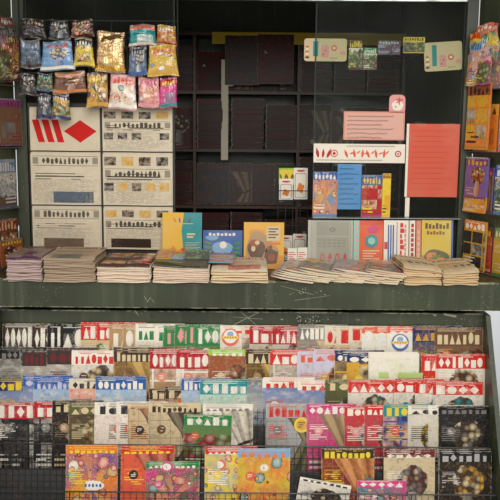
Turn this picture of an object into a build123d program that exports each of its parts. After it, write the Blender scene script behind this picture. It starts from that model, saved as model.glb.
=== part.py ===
from build123d import *
import os
from math import cos, radians, sin, tan

os.makedirs("parts", exist_ok=True)

# A street kiosk that sells newspapers and magazines. It is a cabin of painted sheet steel with a
# serving hatch between two panes, a counter, a stepped magazine rack and two opened display wings.
# The front faces -Y, X runs to the right and Z is up. The origin is on the ground, under the
# middle of the roof. All lengths are in millimetres.

# Play between pieces that lie close to each other
fit_gap = 0.3

# Cabin
cabin_width = 2070
cabin_depth = 1700
cabin_height = 2500
post_side = 50
wall_thickness = 40
plinth_height = 100
plinth_thickness = 60
floor_thickness = 20
header_height = 250

# Roof
roof_width = 2720
roof_depth = 2700
canopy_reach = 900
soffit_thickness = 20
eave_height = 200
eave_thickness = 25
eave_drop = 30
joist_width = 50
joist_count = 5
roof_sheet = 12
roof_rise = 170
roof_ridge_share = 0.35

# Counter
counter_height = 1030
counter_depth = 360
vendor_shelf_depth = 200
counter_thickness = 25
counter_fascia_height = 118
counter_fascia_thickness = 25
bracket_width = 30
bracket_count = 5
bracket_setback = 60

# Cabinet under the counter, with a dark slot left open above it
slot_height = 26
cabinet_reach = 300
cabinet_sheet = 20
cheek_thickness = 20
toe_gap = 40

# Stepped rack in front of the cabinet, from the top tier down
rack_lean = 8
tier_forward = [345, 390, 435, 480, 590]
tier_base = [515, 418, 312, 230, 75]
tray_sheet = 2
tray_back_height = 205
tray_lip = 14
tray_pocket = [24, 24, 24, 34, 34]
wire = 4
pocket_wire_height = 130
pocket_bay = 240
rack_nose = 30

# Magazines in the rack
magazine_width = 208
magazine_height = 288
magazine_thickness = 8
magazine_pitch = 116

# Sliding panes and their tracks
pane_width = 670
pane_thickness = 6
pane_setback = 25
track_height = 20
track_depth = 30

# Ledge for guide books on the right pane
book_ledge_play = 4
book_ledge_depth = 60
book_ledge_thickness = 3

# Newspaper board in front of the left pane
board_thickness = 8
board_top = 740
newspaper_rows = [203, 245, 200]
newspaper_foot = 80
newspaper_side = 8
newspaper_thickness = 9
newspaper_ledge = 2

# Rack of hanging bags in front of the newspapers
bag_rack_forward = 75
bag_rack_overlap = 25
bag_rail = 6
bag_rail_heights = [2125, 2012, 1900, 1815]
bag_thickness = 26
bag_corner = 9
bag_rows = [
    [110, 0, 0, 0, 118, 86],
    [112, 118, 86, 124, 78, 128],
    [156, 140, 110, 116, 94, 74],
    [68, 76, 0, 0, 0, 0],
]
bag_heights = [98, 104, 82, 94]

# Display wings, which are the folded shutters of the shop front
wing_angle = 65
wing_length = 515
wing_thickness = 30
wing_top = 2300
wing_rim = 12
hinge_radius = 8
hinge_length = 90
hinge_count = 3
wing_ledge_pitch = 270
wing_ledge_count = 4
wing_ledge_depth = 40
wing_ledge_thickness = 3
wing_stock_height = 215
wing_stock_width = 150
wing_stock_thickness = 12
wing_stock_count = 3

# Door in the right side wall
door_width = 720
door_height = 1980
door_gap = 4
door_thickness = 36
door_frame = 40
door_from_post = 130
handle_length = 140
handle_radius = 9
handle_standoff = 45
handle_inset = 50
handle_height = 1050

# Shelves inside, along the back wall
shelf_depth = 240
shelf_board = 18
shelf_bays = 3
shelf_base = 450
shelf_headroom = 242
shelf_count = 6
shelf_edge_height = 72
shelf_edge_left = -216
shelf_edge_thickness = 3
shelf_stock_depth = 200
shelf_stock_gap = 40
shelf_stock_low_gap = 78
shelf_stock_packs = 4
strip_width = 44
strip_height = 619
strip_drop = 166
strip_thickness = 3
strip_x = -136

# Stock on the counter
pile_depth = 317
pile_widths = [150, 216, 228, 240, 240]
pile_heights = [104, 100, 74, 84, 66]
pile_gap = 5
pile_setback = -25
loose_width = 200
loose_depth = 280
loose_thickness = 6
loose_tilt = 11
loose_count = 9
end_pile_widths = [150, 160]
end_pile_heights = [60, 74]
book_thickness = 14
book_lean = 7
book_play = 2
hatch_books = [(180, 255), (180, 176), (184, 214)]
hatch_books_from = -375
hatch_books_to = 190
pane_books = [(204, 226), (134, 226), (112, 228), (27, 228), (22, 228), (143, 230)]
pane_books_from = 290
pane_books_to = 958
ledge_books = [(2, 111, 205), (226, 92, 192), (320, 38, 200)]
ledge_book_thickness = 12

# Sheets taped to the right pane: left edge and top measured from the pane's lower left corner
sheet_thickness = 1
pane_sheets = {
    "pink_notice": (136, 718, 279, 130),
    "long_banner": (2, 570, 419, 86),
    "coral_sheet": (424, 664, 243, 336),
    "blue_note": (114, 479, 110, 210),
}

# Packets behind the right pane: left edge from the pane's edge, height, width, drop of the top
pane_packets = [
    (2, 180, 141, 82),
    (152, 128, 62, 170),
    (218, 91, 61, 207),
    (283, 61, 99, 170),
    (396, 70, 97, 153),
    (497, 128, 171, 170),
]
packet_thickness = 5

# Card rack on the vendor's side of the hatch
card_rack_width = 150
card_rack_depth = 60
card_rack_height = 460
card_rack_upper = 295
card_height = 165
card_rack_wire = 5
card_thickness = 12

# Values worked out from the sizes above
roof_front_y = -roof_depth / 2
roof_back_y = roof_depth / 2
roof_half_width = roof_width / 2
front_y = roof_front_y + canopy_reach
back_y = front_y + cabin_depth
half_cabin = cabin_width / 2
half_clear = half_cabin - post_side
floor_top = plinth_height + floor_thickness
header_bottom = cabin_height - header_height
counter_front_y = front_y - counter_depth
counter_under = counter_height - counter_thickness
cabinet_height = counter_height - counter_fascia_height - slot_height
cheek_outer = half_cabin + cheek_thickness
pane_y = front_y + pane_setback
pane_bottom = counter_height + track_height
pane_top = header_bottom - track_height
hatch_half = half_clear - pane_width


def slab(x_low, x_high, y_low, y_high, z_low, z_high):
    """A plain block between two corners."""
    middle = Pos((x_low + x_high) / 2, (y_low + y_high) / 2, (z_low + z_high) / 2)
    return middle * Box(x_high - x_low, y_high - y_low, z_high - z_low)


def both_sides(solid):
    """The solid and its mirror image across the middle of the kiosk."""
    return [solid, mirror(solid, about=Plane.YZ)]


def save(name, solids):
    """Writes one node's solids to its own file."""
    if not isinstance(solids, list):
        solids = [solids]
    loose = [s for piece in solids for s in piece.solids()]
    export_step(Compound(loose), f"parts/{name}.step")
    print(name, len(loose))


def spread(low, high, widths):
    """Left edges of pieces that share the stretch from low to high with equal gaps."""
    gap = (high - low - sum(widths)) / (len(widths) + 1)
    edges = []
    place = low + gap
    for width in widths:
        edges.append(place)
        place += width + gap
    return edges


def prism_across(points, x_low, x_high):
    """A solid with its outline in the YZ plane, drawn out along X."""
    face = make_face(Polyline(*[(0, y, z) for y, z in points], close=True))
    return Pos(x_low, 0, 0) * extrude(face, x_high - x_low, dir=(1, 0, 0))


# Base and floor

plinth_front = slab(
    -half_cabin, half_cabin, front_y, front_y + plinth_thickness, 0, plinth_height
)
plinth_back = slab(-half_cabin, half_cabin, back_y - plinth_thickness, back_y, 0, plinth_height)
plinth_side = slab(
    half_cabin - plinth_thickness,
    half_cabin,
    front_y + plinth_thickness + fit_gap,
    back_y - plinth_thickness - fit_gap,
    0,
    plinth_height,
)
save("plinth", [plinth_front, plinth_back] + both_sides(plinth_side))
save(
    "floor",
    slab(
        -half_clear,
        half_clear,
        front_y + wall_thickness,
        back_y - wall_thickness,
        plinth_height,
        floor_top,
    ),
)

# Posts and walls

front_post = slab(
    half_clear, half_cabin, front_y, front_y + post_side, plinth_height, cabin_height
)
rear_post = slab(half_clear, half_cabin, back_y - post_side, back_y, plinth_height, cabin_height)
save("corner_posts", both_sides(front_post) + both_sides(rear_post))

side_wall = slab(
    half_cabin - wall_thickness,
    half_cabin,
    front_y + post_side,
    back_y - post_side,
    plinth_height,
    cabin_height,
)
save("side_wall_left", mirror(side_wall, about=Plane.YZ))
save(
    "front_wall",
    slab(-half_clear, half_clear, front_y, front_y + wall_thickness, floor_top, counter_under),
)
save(
    "header_beam",
    slab(-half_clear, half_clear, front_y, front_y + post_side, header_bottom, cabin_height),
)

# Back wall, and the door in the rear part of the right side wall

save(
    "back_wall",
    slab(-half_clear, half_clear, back_y - wall_thickness, back_y, plinth_height, cabin_height),
)
door_middle_y = back_y - post_side - door_from_post - door_width / 2
door_frame_half = door_width / 2 + door_gap + door_frame
door_frame_top = floor_top + door_height + door_gap + door_frame
wall_inner_x = half_cabin - wall_thickness
wall_ahead_of_door = slab(
    wall_inner_x,
    half_cabin,
    front_y + post_side,
    door_middle_y - door_frame_half,
    plinth_height,
    cabin_height,
)
wall_behind_door = slab(
    wall_inner_x,
    half_cabin,
    door_middle_y + door_frame_half,
    back_y - post_side,
    plinth_height,
    cabin_height,
)
save("side_wall_right", [wall_ahead_of_door, wall_behind_door])
save(
    "side_wall_over_door",
    slab(
        wall_inner_x,
        half_cabin,
        door_middle_y - door_frame_half,
        door_middle_y + door_frame_half,
        door_frame_top,
        cabin_height,
    ),
)
door_clear_half = door_frame_half - door_frame
door_frame_shape = slab(
    wall_inner_x,
    half_cabin,
    door_middle_y - door_frame_half,
    door_middle_y + door_frame_half,
    plinth_height,
    door_frame_top,
) - slab(
    wall_inner_x,
    half_cabin,
    door_middle_y - door_clear_half,
    door_middle_y + door_clear_half,
    floor_top,
    door_frame_top - door_frame,
)
save("door_frame", door_frame_shape)
door_face_x = half_cabin - (wall_thickness - door_thickness) / 2
save(
    "side_door",
    slab(
        door_face_x - door_thickness,
        door_face_x,
        door_middle_y - door_width / 2,
        door_middle_y + door_width / 2,
        floor_top + fit_gap,
        floor_top + door_height,
    ),
)
handle_end_y = door_middle_y - door_width / 2 + handle_inset
handle_bar_x = door_face_x + handle_standoff
handle_bar = Pos(handle_bar_x, handle_end_y + handle_length / 2, handle_height) * Rot(
    90, 0, 0
) * Cylinder(handle_radius, handle_length)
handle_stem = Pos(
    (door_face_x + handle_bar_x) / 2, handle_end_y + handle_radius, handle_height
) * Rot(0, 90, 0) * Cylinder(handle_radius, handle_standoff)
save("door_handle", handle_bar + handle_stem)

# Roof: a soffit over the whole plan, joists, a fascia round the edge and a low hipped cover

inner_x = roof_half_width - eave_thickness
inner_front_y = roof_front_y + eave_thickness
inner_back_y = roof_back_y - eave_thickness
soffit_top = cabin_height + soffit_thickness
eave_bottom = cabin_height - eave_drop
eave_top = eave_bottom + eave_height
save(
    "ceiling",
    slab(-inner_x, inner_x, inner_front_y, inner_back_y, cabin_height, soffit_top),
)
front_eave = slab(
    -roof_half_width, roof_half_width, roof_front_y, inner_front_y, eave_bottom, eave_top
)
rear_eave = slab(
    -roof_half_width, roof_half_width, inner_back_y, roof_back_y, eave_bottom, eave_top
)
side_eave = slab(
    inner_x,
    roof_half_width,
    inner_front_y + fit_gap,
    inner_back_y - fit_gap,
    eave_bottom,
    eave_top,
)
save("roof_fascia", [front_eave, rear_eave] + both_sides(side_eave))
joist_span = 2 * inner_x - joist_width
joists = []
for i in range(joist_count):
    x = -inner_x + joist_span * i / (joist_count - 1)
    joists.append(
        slab(x, x + joist_width, inner_front_y, inner_back_y, soffit_top, eave_top - roof_sheet)
    )
save("roof_joists", joists)


def hip(low_z, rise, margin):
    """A low hipped block over the roof's plan, drawn in by a margin on each side."""
    half_x = roof_half_width - margin
    half_y = (roof_back_y - roof_front_y) / 2 - margin
    middle_y = (roof_front_y + roof_back_y) / 2
    ridge_x = half_x * roof_ridge_share
    ridge_y = half_y * roof_ridge_share
    low = Pos(0, middle_y, low_z) * Rectangle(2 * half_x, 2 * half_y)
    high = Pos(0, middle_y, low_z + rise) * Rectangle(2 * ridge_x, 2 * ridge_y)
    return loft([low.face(), high.face()])


roof_margin = 2 * eave_thickness
roof_plate = slab(
    -inner_x, inner_x, inner_front_y, inner_back_y, eave_top - roof_sheet, eave_top
)
save("roof_deck", roof_plate)
save("roof_cover", hip(eave_top, roof_rise, roof_margin))

# Counter with its front board, carried on brackets that stand on the cabinet


def wing_line(forward):
    """Distance from the middle to a wing's inner face, at a reach in front of the shop front."""
    return half_cabin + forward / tan(radians(wing_angle))


counter_end_play = 3
board_back = counter_depth - counter_fascia_thickness
counter_outline = [
    (-(half_cabin - counter_end_play), front_y),
    (half_cabin - counter_end_play, front_y),
    (wing_line(board_back) - counter_end_play, front_y - board_back),
    (-(wing_line(board_back) - counter_end_play), front_y - board_back),
]
counter_face = make_face(Polyline(*counter_outline, close=True))
save(
    "counter_top",
    Pos(0, 0, counter_under) * extrude(counter_face, counter_thickness, dir=(0, 0, 1)),
)
fascia_half = wing_line(board_back) - counter_end_play
save(
    "counter_fascia",
    slab(
        -fascia_half,
        fascia_half,
        counter_front_y,
        counter_front_y + counter_fascia_thickness,
        counter_height - counter_fascia_height,
        counter_height,
    ),
)
save(
    "vendor_shelf",
    slab(
        -half_clear,
        half_clear,
        front_y,
        front_y + vendor_shelf_depth,
        counter_under,
        counter_height,
    ),
)
brackets = []
bracket_span = 2 * half_cabin - 2 * cheek_thickness - bracket_width
for i in range(bracket_count):
    x = -bracket_span / 2 - bracket_width / 2 + bracket_span * i / (bracket_count - 1)
    brackets.append(
        slab(
            x,
            x + bracket_width,
            front_y - cabinet_reach + bracket_setback,
            front_y,
            cabinet_height,
            counter_under,
        )
    )
save("counter_brackets", brackets)

# Cabinet behind the rack

cabinet_front_y = front_y - cabinet_reach
save(
    "cabinet_front",
    slab(
        -half_cabin,
        half_cabin,
        cabinet_front_y,
        cabinet_front_y + cabinet_sheet,
        toe_gap,
        cabinet_height,
    ),
)
save(
    "cabinet_top",
    slab(
        -half_cabin,
        half_cabin,
        cabinet_front_y + cabinet_sheet,
        front_y,
        cabinet_height - cabinet_sheet,
        cabinet_height,
    ),
)

# End cheeks, which carry the trays and stand on the ground

lowest = len(tier_base) - 1
cheek_front = tier_forward[lowest] + tray_pocket[lowest] + rack_nose
cheek_points = [
    (front_y, 0),
    (front_y, cabinet_height),
    (front_y - counter_depth + counter_fascia_thickness, cabinet_height),
    (front_y - cheek_front, tier_base[lowest] + tray_back_height),
    (front_y - cheek_front, 0),
]
cheek = prism_across(cheek_points, half_cabin, cheek_outer)
save("rack_cheeks", both_sides(cheek))

# Trays: a leaning back sheet, a ledge and a small lip, drawn out between the cheeks


def tier_place(tier):
    """The frame of a tier: its origin is where the tray's back meets its ledge."""
    return Pos(0, front_y - tier_forward[tier], tier_base[tier]) * Rot(-rack_lean, 0, 0)


trays = []
for tier in range(len(tier_base)):
    pocket = tray_pocket[tier]
    profile = [
        (tray_sheet, -tray_sheet),
        (tray_sheet, tray_back_height),
        (0, tray_back_height),
        (0, 0),
        (-pocket, 0),
        (-pocket, tray_lip),
        (-pocket - tray_sheet, tray_lip),
        (-pocket - tray_sheet, -tray_sheet),
    ]
    trays.append(tier_place(tier) * prism_across(profile, -half_cabin, half_cabin))
save("rack_trays", trays)

# Wire fronts of the two lowest tiers, which stand on the trays' lips

wire_fronts = []
for tier in (lowest - 1, lowest):
    front = -tray_pocket[tier] - tray_sheet
    bays = round(cabin_width / pocket_bay)
    bay_pitch = (cabin_width - wire) / bays
    frame = slab(
        -half_cabin, half_cabin, front, front + wire, pocket_wire_height, pocket_wire_height + wire
    )
    for i in range(bays + 1):
        x = -half_cabin + bay_pitch * i
        frame += slab(x, x + wire, front, front + wire, tray_lip, pocket_wire_height)
    wire_fronts.append(tier_place(tier) * frame)
save("rack_wire_fronts", wire_fronts)

# Magazines: packs that overlap sideways in two layers

for tier in range(len(tier_base)):
    room = cabin_width - magazine_width - 2 * fit_gap
    steps = int(room / magazine_pitch)
    pitch = room / steps
    packs = []
    for i in range(steps + 1):
        x = -half_cabin + fit_gap + pitch * i
        back = -fit_gap - (i % 2) * (magazine_thickness + fit_gap)
        packs.append(
            tier_place(tier)
            * slab(x, x + magazine_width, back - magazine_thickness, back, fit_gap, magazine_height)
        )
    save(f"magazines_tier_{tier + 1}", packs)

# Tracks and sliding panes

track_y = pane_y + pane_thickness / 2 - track_depth / 2
track_low = slab(
    -half_clear, half_clear, track_y, track_y + track_depth, counter_height, pane_bottom
)
track_high = slab(
    -half_clear, half_clear, track_y, track_y + track_depth, pane_top, header_bottom
)
save("pane_tracks", [track_low, track_high])
pane = slab(hatch_half, half_clear, pane_y, pane_y + pane_thickness, pane_bottom, pane_top)
save("sliding_panes", both_sides(pane))

# Ledge with guide books, and the sheets taped to the right pane

ledge_z = counter_height + max(height for width, height in pane_books) + book_ledge_play
save(
    "book_ledge",
    slab(
        hatch_half,
        half_clear,
        pane_y - fit_gap - book_ledge_depth,
        pane_y - fit_gap,
        ledge_z,
        ledge_z + book_ledge_thickness,
    ),
)
guide_books = []
for left, width, height in ledge_books:
    x = hatch_half + left
    y = pane_y - sheet_thickness - 3 * fit_gap
    z = ledge_z + book_ledge_thickness
    guide_books.append(slab(x, x + width, y - ledge_book_thickness, y, z, z + height))
save("guide_books", guide_books)
sheet_y = pane_y - fit_gap - sheet_thickness
sheets = []
for left, top, width, height in pane_sheets.values():
    x = hatch_half + left
    z = counter_height + top
    sheets.append(slab(x, x + width, sheet_y, sheet_y + sheet_thickness, z - height, z))
save("pane_sheets", sheets)
packets = []
for left, height, width, drop in pane_packets:
    x = hatch_half + left
    y = pane_y + pane_thickness + fit_gap
    z = pane_top - drop
    packets.append(slab(x, x + width, y, y + packet_thickness, z - height, z))
save("hanging_packets", packets)

# Newspaper board and newspapers

board_y = front_y - fit_gap
newspaper_y = board_y - board_thickness - fit_gap
board_left = -half_clear + newspaper_side
board_right = -hatch_half
board = slab(
    board_left,
    board_right,
    board_y - board_thickness,
    board_y,
    counter_height,
    counter_height + board_top,
)
papers = []
row_z = counter_height + newspaper_foot
paper_width = (board_right - board_left - 3 * newspaper_side) / 2
for height in newspaper_rows:
    board += slab(
        board_left,
        board_right,
        newspaper_y - newspaper_thickness,
        board_y,
        row_z - newspaper_ledge,
        row_z,
    )
    for column in range(2):
        x = board_left + newspaper_side + column * (paper_width + newspaper_side)
        papers.append(
            slab(
                x,
                x + paper_width,
                newspaper_y - newspaper_thickness,
                newspaper_y,
                row_z,
                row_z + height - newspaper_ledge - fit_gap,
            )
        )
    row_z += height
save("newspaper_board", board)
save("newspapers", papers)

# Bag rack: two hangers from the soffit with a rail for each row of bags

rack_y = front_y - bag_rack_forward
bag_left = -half_clear
bag_right = -hatch_half + bag_rack_overlap
lowest_rail = min(bag_rail_heights)
bag_rack = slab(
    bag_left, bag_left + bag_rail, rack_y - bag_rail, rack_y, lowest_rail, cabin_height
)
bag_rack += slab(
    bag_right - bag_rail, bag_right, rack_y - bag_rail, rack_y, lowest_rail, cabin_height
)
for z in bag_rail_heights:
    bag_rack += slab(bag_left, bag_right, rack_y - bag_rail, rack_y, z - bag_rail, z)
save("bag_rack", bag_rack)
bags = []
for z, widths, height in zip(bag_rail_heights, bag_rows, bag_heights):
    column = (bag_right - bag_left) / len(widths)
    for i, width in enumerate(widths):
        if width == 0:
            continue
        x = bag_left + column * i
        width = min(width, column - 2 * fit_gap)
        back = rack_y - bag_rail - fit_gap
        bag = slab(x, x + width, back - bag_thickness, back, z - height, z)
        bags.append(fillet(bag.edges().filter_by(Axis.X), bag_corner))
save("hanging_bags", bags)

# Display wings, each turned out from its front post on a row of hinges

wing_bottom = counter_height - counter_fascia_height
barrel_x = half_cabin + hinge_radius + fit_gap
barrel_y = front_y + hinge_radius
barrel_along = (barrel_x - half_cabin) * cos(radians(wing_angle)) - hinge_radius * sin(radians(wing_angle))
wing_start = barrel_along + hinge_radius + fit_gap


def wing_place(solid):
    """Turns a solid drawn in the wing's own frame: X along the wing, Y outwards, Z up."""
    return Pos(half_cabin, front_y, 0) * Rot(0, 0, -wing_angle) * solid


wing_end = wing_start + wing_length
wing_panel = wing_place(slab(wing_start, wing_end, 0, wing_thickness, wing_bottom, wing_top))
save("display_wings", both_sides(wing_panel))
barrels = []
barrel_pitch = (wing_top - wing_bottom) / (hinge_count + 1)
for i in range(hinge_count):
    z = wing_bottom + barrel_pitch * (i + 1)
    barrels += both_sides(Pos(barrel_x, barrel_y, z) * Cylinder(hinge_radius, hinge_length))
save("wing_hinges", barrels)
wing_ledge_levels = [
    counter_height + fit_gap + wing_ledge_pitch * level for level in range(wing_ledge_count)
]
wing_ledges = []
wing_stock = []
stock_pitch = (wing_length - 2 * wing_rim) / wing_stock_count
for z in wing_ledge_levels:
    wing_ledge = slab(
        wing_start + wing_rim,
        wing_end - wing_rim,
        -wing_ledge_depth,
        0,
        z,
        z + wing_ledge_thickness,
    )
    wing_ledges += both_sides(wing_place(wing_ledge))
    for i in range(wing_stock_count):
        x = wing_start + wing_rim + stock_pitch * (i + 0.5) - wing_stock_width / 2
        low = z + wing_ledge_thickness
        wing_item = slab(
            x,
            x + wing_stock_width,
            -fit_gap - wing_stock_thickness,
            -fit_gap,
            low,
            low + wing_stock_height,
        )
        wing_stock += both_sides(wing_place(wing_item))
save("wing_ledges", wing_ledges)
save("wing_stock", wing_stock)

# Piles of newspapers on the counter: from its left end to the hatch, and at its right end

pile_front = counter_front_y + pile_setback
counter_end = half_cabin - wing_ledge_depth / sin(radians(wing_angle)) - pile_gap


def pile(x, width, height):
    """One pile that stands on the counter with its front near the counter's edge."""
    pile_back = pile_front + pile_depth
    return slab(x, x + width, pile_front, pile_back, counter_height, counter_height + height)


piles = []
loose_start = -counter_end
for width, height in zip(pile_widths, pile_heights):
    piles.append(pile(loose_start, width, height))
    loose_start += width + pile_gap
loose_end = counter_end
for width, height in zip(end_pile_widths, end_pile_heights):
    piles.append(pile(loose_end - width, width, height))
    loose_end -= width + pile_gap
save("counter_piles", piles)

# Loose magazines between the piles, laid like shingles

loose = []
loose_pitch = (loose_end - loose_start - loose_width) / (loose_count - 1)
for i in range(loose_count):
    right_edge = loose_start + loose_width * cos(radians(loose_tilt)) + loose_pitch * i
    leaf = slab(-loose_width, 0, pile_front, pile_front + loose_depth, 0, loose_thickness)
    loose.append(Pos(right_edge, 0, counter_height) * Rot(0, loose_tilt, 0) * leaf)
save("loose_magazines", loose)

# Books that stand on the counter and lean back


book_forward = counter_depth - pile_setback - pile_depth - book_thickness - book_play


def standing_books(books, low, high):
    """Books of given width and height, spread between low and high."""
    made = []
    for (width, height), x in zip(books, spread(low, high, [b[0] for b in books])):
        book = slab(x, x + width, -book_thickness, 0, 0, height)
        place = Pos(0, front_y - book_forward, counter_height)
        made.append(place * Rot(-book_lean, 0, 0) * book)
    return made


hatch_row = standing_books(hatch_books, hatch_books_from, hatch_books_to)
save("standing_books", hatch_row + standing_books(pane_books, pane_books_from, pane_books_to))

# Shelves along the back wall with their stock, a bright edge strip and a hanging strip

shelf_back_y = back_y - wall_thickness
shelf_front_y = shelf_back_y - shelf_depth
shelf_top = cabin_height - shelf_headroom
shelf_pitch = (shelf_top - shelf_board - shelf_base) / (shelf_count - 1)
bay_width = (2 * half_clear - shelf_board) / shelf_bays
uprights = []
boards = []
shelf_stock = []
for i in range(shelf_bays + 1):
    x = -half_clear + bay_width * i
    uprights.append(slab(x, x + shelf_board, shelf_front_y, shelf_back_y, floor_top, shelf_top))
for bay in range(shelf_bays):
    low_x = -half_clear + bay_width * bay + shelf_board
    high_x = low_x + bay_width - shelf_board
    for level in range(shelf_count):
        z = shelf_base + shelf_pitch * level
        boards.append(slab(low_x, high_x, shelf_front_y, shelf_back_y, z, z + shelf_board))
        if level == shelf_count - 1:
            continue
        pack = (high_x - low_x - fit_gap) / shelf_stock_packs
        for i in range(shelf_stock_packs):
            gap_over = shelf_stock_low_gap if (i + level + bay) % 3 == 0 else shelf_stock_gap
            height = shelf_pitch - shelf_board - gap_over
            x = low_x + fit_gap + pack * i
            shelf_stock.append(
                slab(
                    x,
                    x + pack - fit_gap,
                    shelf_front_y + shelf_board,
                    shelf_front_y + shelf_board + shelf_stock_depth,
                    z + shelf_board,
                    z + shelf_board + height,
                )
            )
save("shelf_uprights", uprights)
save("shelf_boards", boards)
save("shelf_stock", shelf_stock)
edge_y = shelf_front_y - fit_gap - shelf_edge_thickness
edge_strip = slab(
    shelf_edge_left,
    half_clear,
    edge_y,
    edge_y + shelf_edge_thickness,
    shelf_top - shelf_edge_height,
    shelf_top,
)
strip_top = shelf_top - strip_drop
hanging_strip = slab(
    strip_x - strip_width / 2,
    strip_x + strip_width / 2,
    edge_y,
    edge_y + strip_thickness,
    strip_top - strip_height,
    strip_top,
)
save("shelf_strips", [edge_strip, hanging_strip])

# Card rack on the vendor's shelf, at the right end of the hatch, with two levels of cards

rack_right = hatch_half - card_rack_wire
rack_left = rack_right - card_rack_width
rack_back = front_y + vendor_shelf_depth - card_rack_wire
rack_front = rack_back - card_rack_depth
card_rack = slab(
    rack_left, rack_right, rack_front, rack_back, counter_height, counter_height + card_rack_wire
)
card_rack += slab(
    rack_left,
    rack_right,
    rack_front,
    rack_back,
    counter_height + card_rack_upper,
    counter_height + card_rack_upper + card_rack_wire,
)
for x in (rack_left, rack_right - card_rack_wire):
    card_rack += slab(
        x,
        x + card_rack_wire,
        rack_back - card_rack_wire,
        rack_back,
        counter_height,
        counter_height + card_rack_height,
    )
card_rack += slab(
    rack_left,
    rack_right,
    rack_back - card_rack_wire,
    rack_back,
    counter_height + card_rack_height - card_rack_wire,
    counter_height + card_rack_height,
)
cards_back = rack_back - card_rack_wire - fit_gap
cards = []
for level in (0, card_rack_upper):
    low = counter_height + level + card_rack_wire + fit_gap
    cards.append(
        slab(
            rack_left + card_rack_wire,
            rack_right - card_rack_wire,
            cards_back - card_thickness,
            cards_back,
            low,
            low + card_height - 2 * card_rack_wire,
        )
    )
save("card_rack", [card_rack, *cards])
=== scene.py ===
# %% [markdown]
# A street kiosk that sells newspapers and magazines, in painted sheet steel.
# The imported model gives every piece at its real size, in metres, with the front towards -Y.
# This script keeps the cabin, counter and racks as they are and gives them worn paint, steel, glass
# and wood. What hangs, stands and lies in the kiosk is made again here, as bent sheets, pillow bags
# and folded papers, because their soft shapes are what the eye reads first.

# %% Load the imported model
import random
from functools import partialmethod
from math import cos, pi, radians, sin

import bpy
import numpy as np
from mathutils import Euler, Matrix, Vector, noise


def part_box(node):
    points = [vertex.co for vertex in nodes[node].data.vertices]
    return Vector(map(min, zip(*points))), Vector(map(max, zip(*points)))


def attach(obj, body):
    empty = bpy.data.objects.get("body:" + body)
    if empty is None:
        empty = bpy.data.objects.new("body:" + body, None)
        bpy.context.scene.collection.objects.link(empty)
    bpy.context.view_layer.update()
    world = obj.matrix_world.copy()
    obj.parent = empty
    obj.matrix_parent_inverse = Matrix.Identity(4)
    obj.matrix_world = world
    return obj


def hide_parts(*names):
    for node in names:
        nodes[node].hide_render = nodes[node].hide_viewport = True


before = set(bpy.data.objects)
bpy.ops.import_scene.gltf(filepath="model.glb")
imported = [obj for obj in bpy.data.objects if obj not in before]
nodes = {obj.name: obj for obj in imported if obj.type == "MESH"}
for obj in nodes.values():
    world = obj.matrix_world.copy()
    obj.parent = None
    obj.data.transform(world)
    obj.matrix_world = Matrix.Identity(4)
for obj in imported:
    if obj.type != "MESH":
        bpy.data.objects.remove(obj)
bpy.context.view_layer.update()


def add_object(name, data):
    """An object with its data, linked to the scene."""
    made = bpy.data.objects.new(name, data)
    bpy.context.scene.collection.objects.link(made)
    return made


# %% [markdown]
# The camera stands at eye height, 3.3 m from the counter's edge, and looks slightly down. It could
# stand further back and take in the roof, but the photograph is a close view of the shop front, and
# the same distance gives the same overlaps between the tiers of magazines.

# %% Camera
eye = Vector((0.03, -4.11, 1.65))
look_down, camera_roll = radians(8.4), radians(0.5)
camera_data = bpy.data.cameras.new("front_view")
camera_data.lens = 57.6
camera_data.sensor_width = 36
camera = add_object("front_view", camera_data)
camera.location = eye
level_view = Euler((pi / 2 - look_down, 0, 0)).to_matrix()
camera.rotation_euler = (level_view @ Matrix.Rotation(camera_roll, 3, "Z")).to_euler()
bpy.context.scene.camera = camera
bpy.context.scene.view_settings.view_transform = "Standard"
print("camera at", tuple(eye))

# %% [markdown]
# The studio is a pale floor, an even white surround and four large soft lamps. A surround alone would
# leave the goods under the canopy flat and grey, so one lamp stands in front, above the camera, and
# a weaker one fills in from the left. Two more behind the kiosk bring out the walls for anyone who
# turns it round. Rays that come from the camera, or from gloss and glass, see the surround at full
# white, while matt surfaces get a lower level of light from it.

# %% Floor, surround and lamps
fill_light = 0.42
world = bpy.data.worlds.new("studio")
bpy.context.scene.world = world
world.use_nodes = True
sky_tree = world.node_tree
sky_tree.nodes.clear()
rays = sky_tree.nodes.new("ShaderNodeLightPath")
seen = rays.outputs["Is Camera Ray"]
for kind in ("Is Transmission Ray", "Is Glossy Ray"):
    either = sky_tree.nodes.new("ShaderNodeMath")
    either.operation = "MAXIMUM"
    sky_tree.links.new(seen, either.inputs[0])
    sky_tree.links.new(rays.outputs[kind], either.inputs[1])
    seen = either.outputs[0]
level = sky_tree.nodes.new("ShaderNodeMapRange")
level.inputs["To Min"].default_value = fill_light
level.inputs["To Max"].default_value = 1.0
surround = sky_tree.nodes.new("ShaderNodeBackground")
sky_output = sky_tree.nodes.new("ShaderNodeOutputWorld")
for source, target in (
    (seen, level.inputs["Value"]),
    (level.outputs[0], surround.inputs["Strength"]),
    (surround.outputs[0], sky_output.inputs[0]),
):
    sky_tree.links.new(source, target)
for name, place, aim, size, power in (
    ("front_lamp", (0.6, -5.2, 3.6), (0, -0.6, 1.2), 3.0, 168),
    ("side_lamp", (-4.6, -3.4, 2.6), (0, -0.6, 1.2), 2.5, 30),
    ("rear_right_lamp", (4.8, 3.6, 3.0), (0, 0.4, 1.3), 2.5, 110),
    ("rear_left_lamp", (-4.2, 4.4, 3.0), (0, 0.4, 1.3), 2.5, 110),
):
    lamp = bpy.data.lights.new(name, "AREA")
    lamp.size = size
    lamp.energy = power
    lamp_object = add_object(name, lamp)
    lamp_object.location = place
    lamp_object.rotation_euler = (Vector(aim) - Vector(place)).to_track_quat("-Z", "Y").to_euler()
reach, drop = 9.0, 0.002
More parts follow.
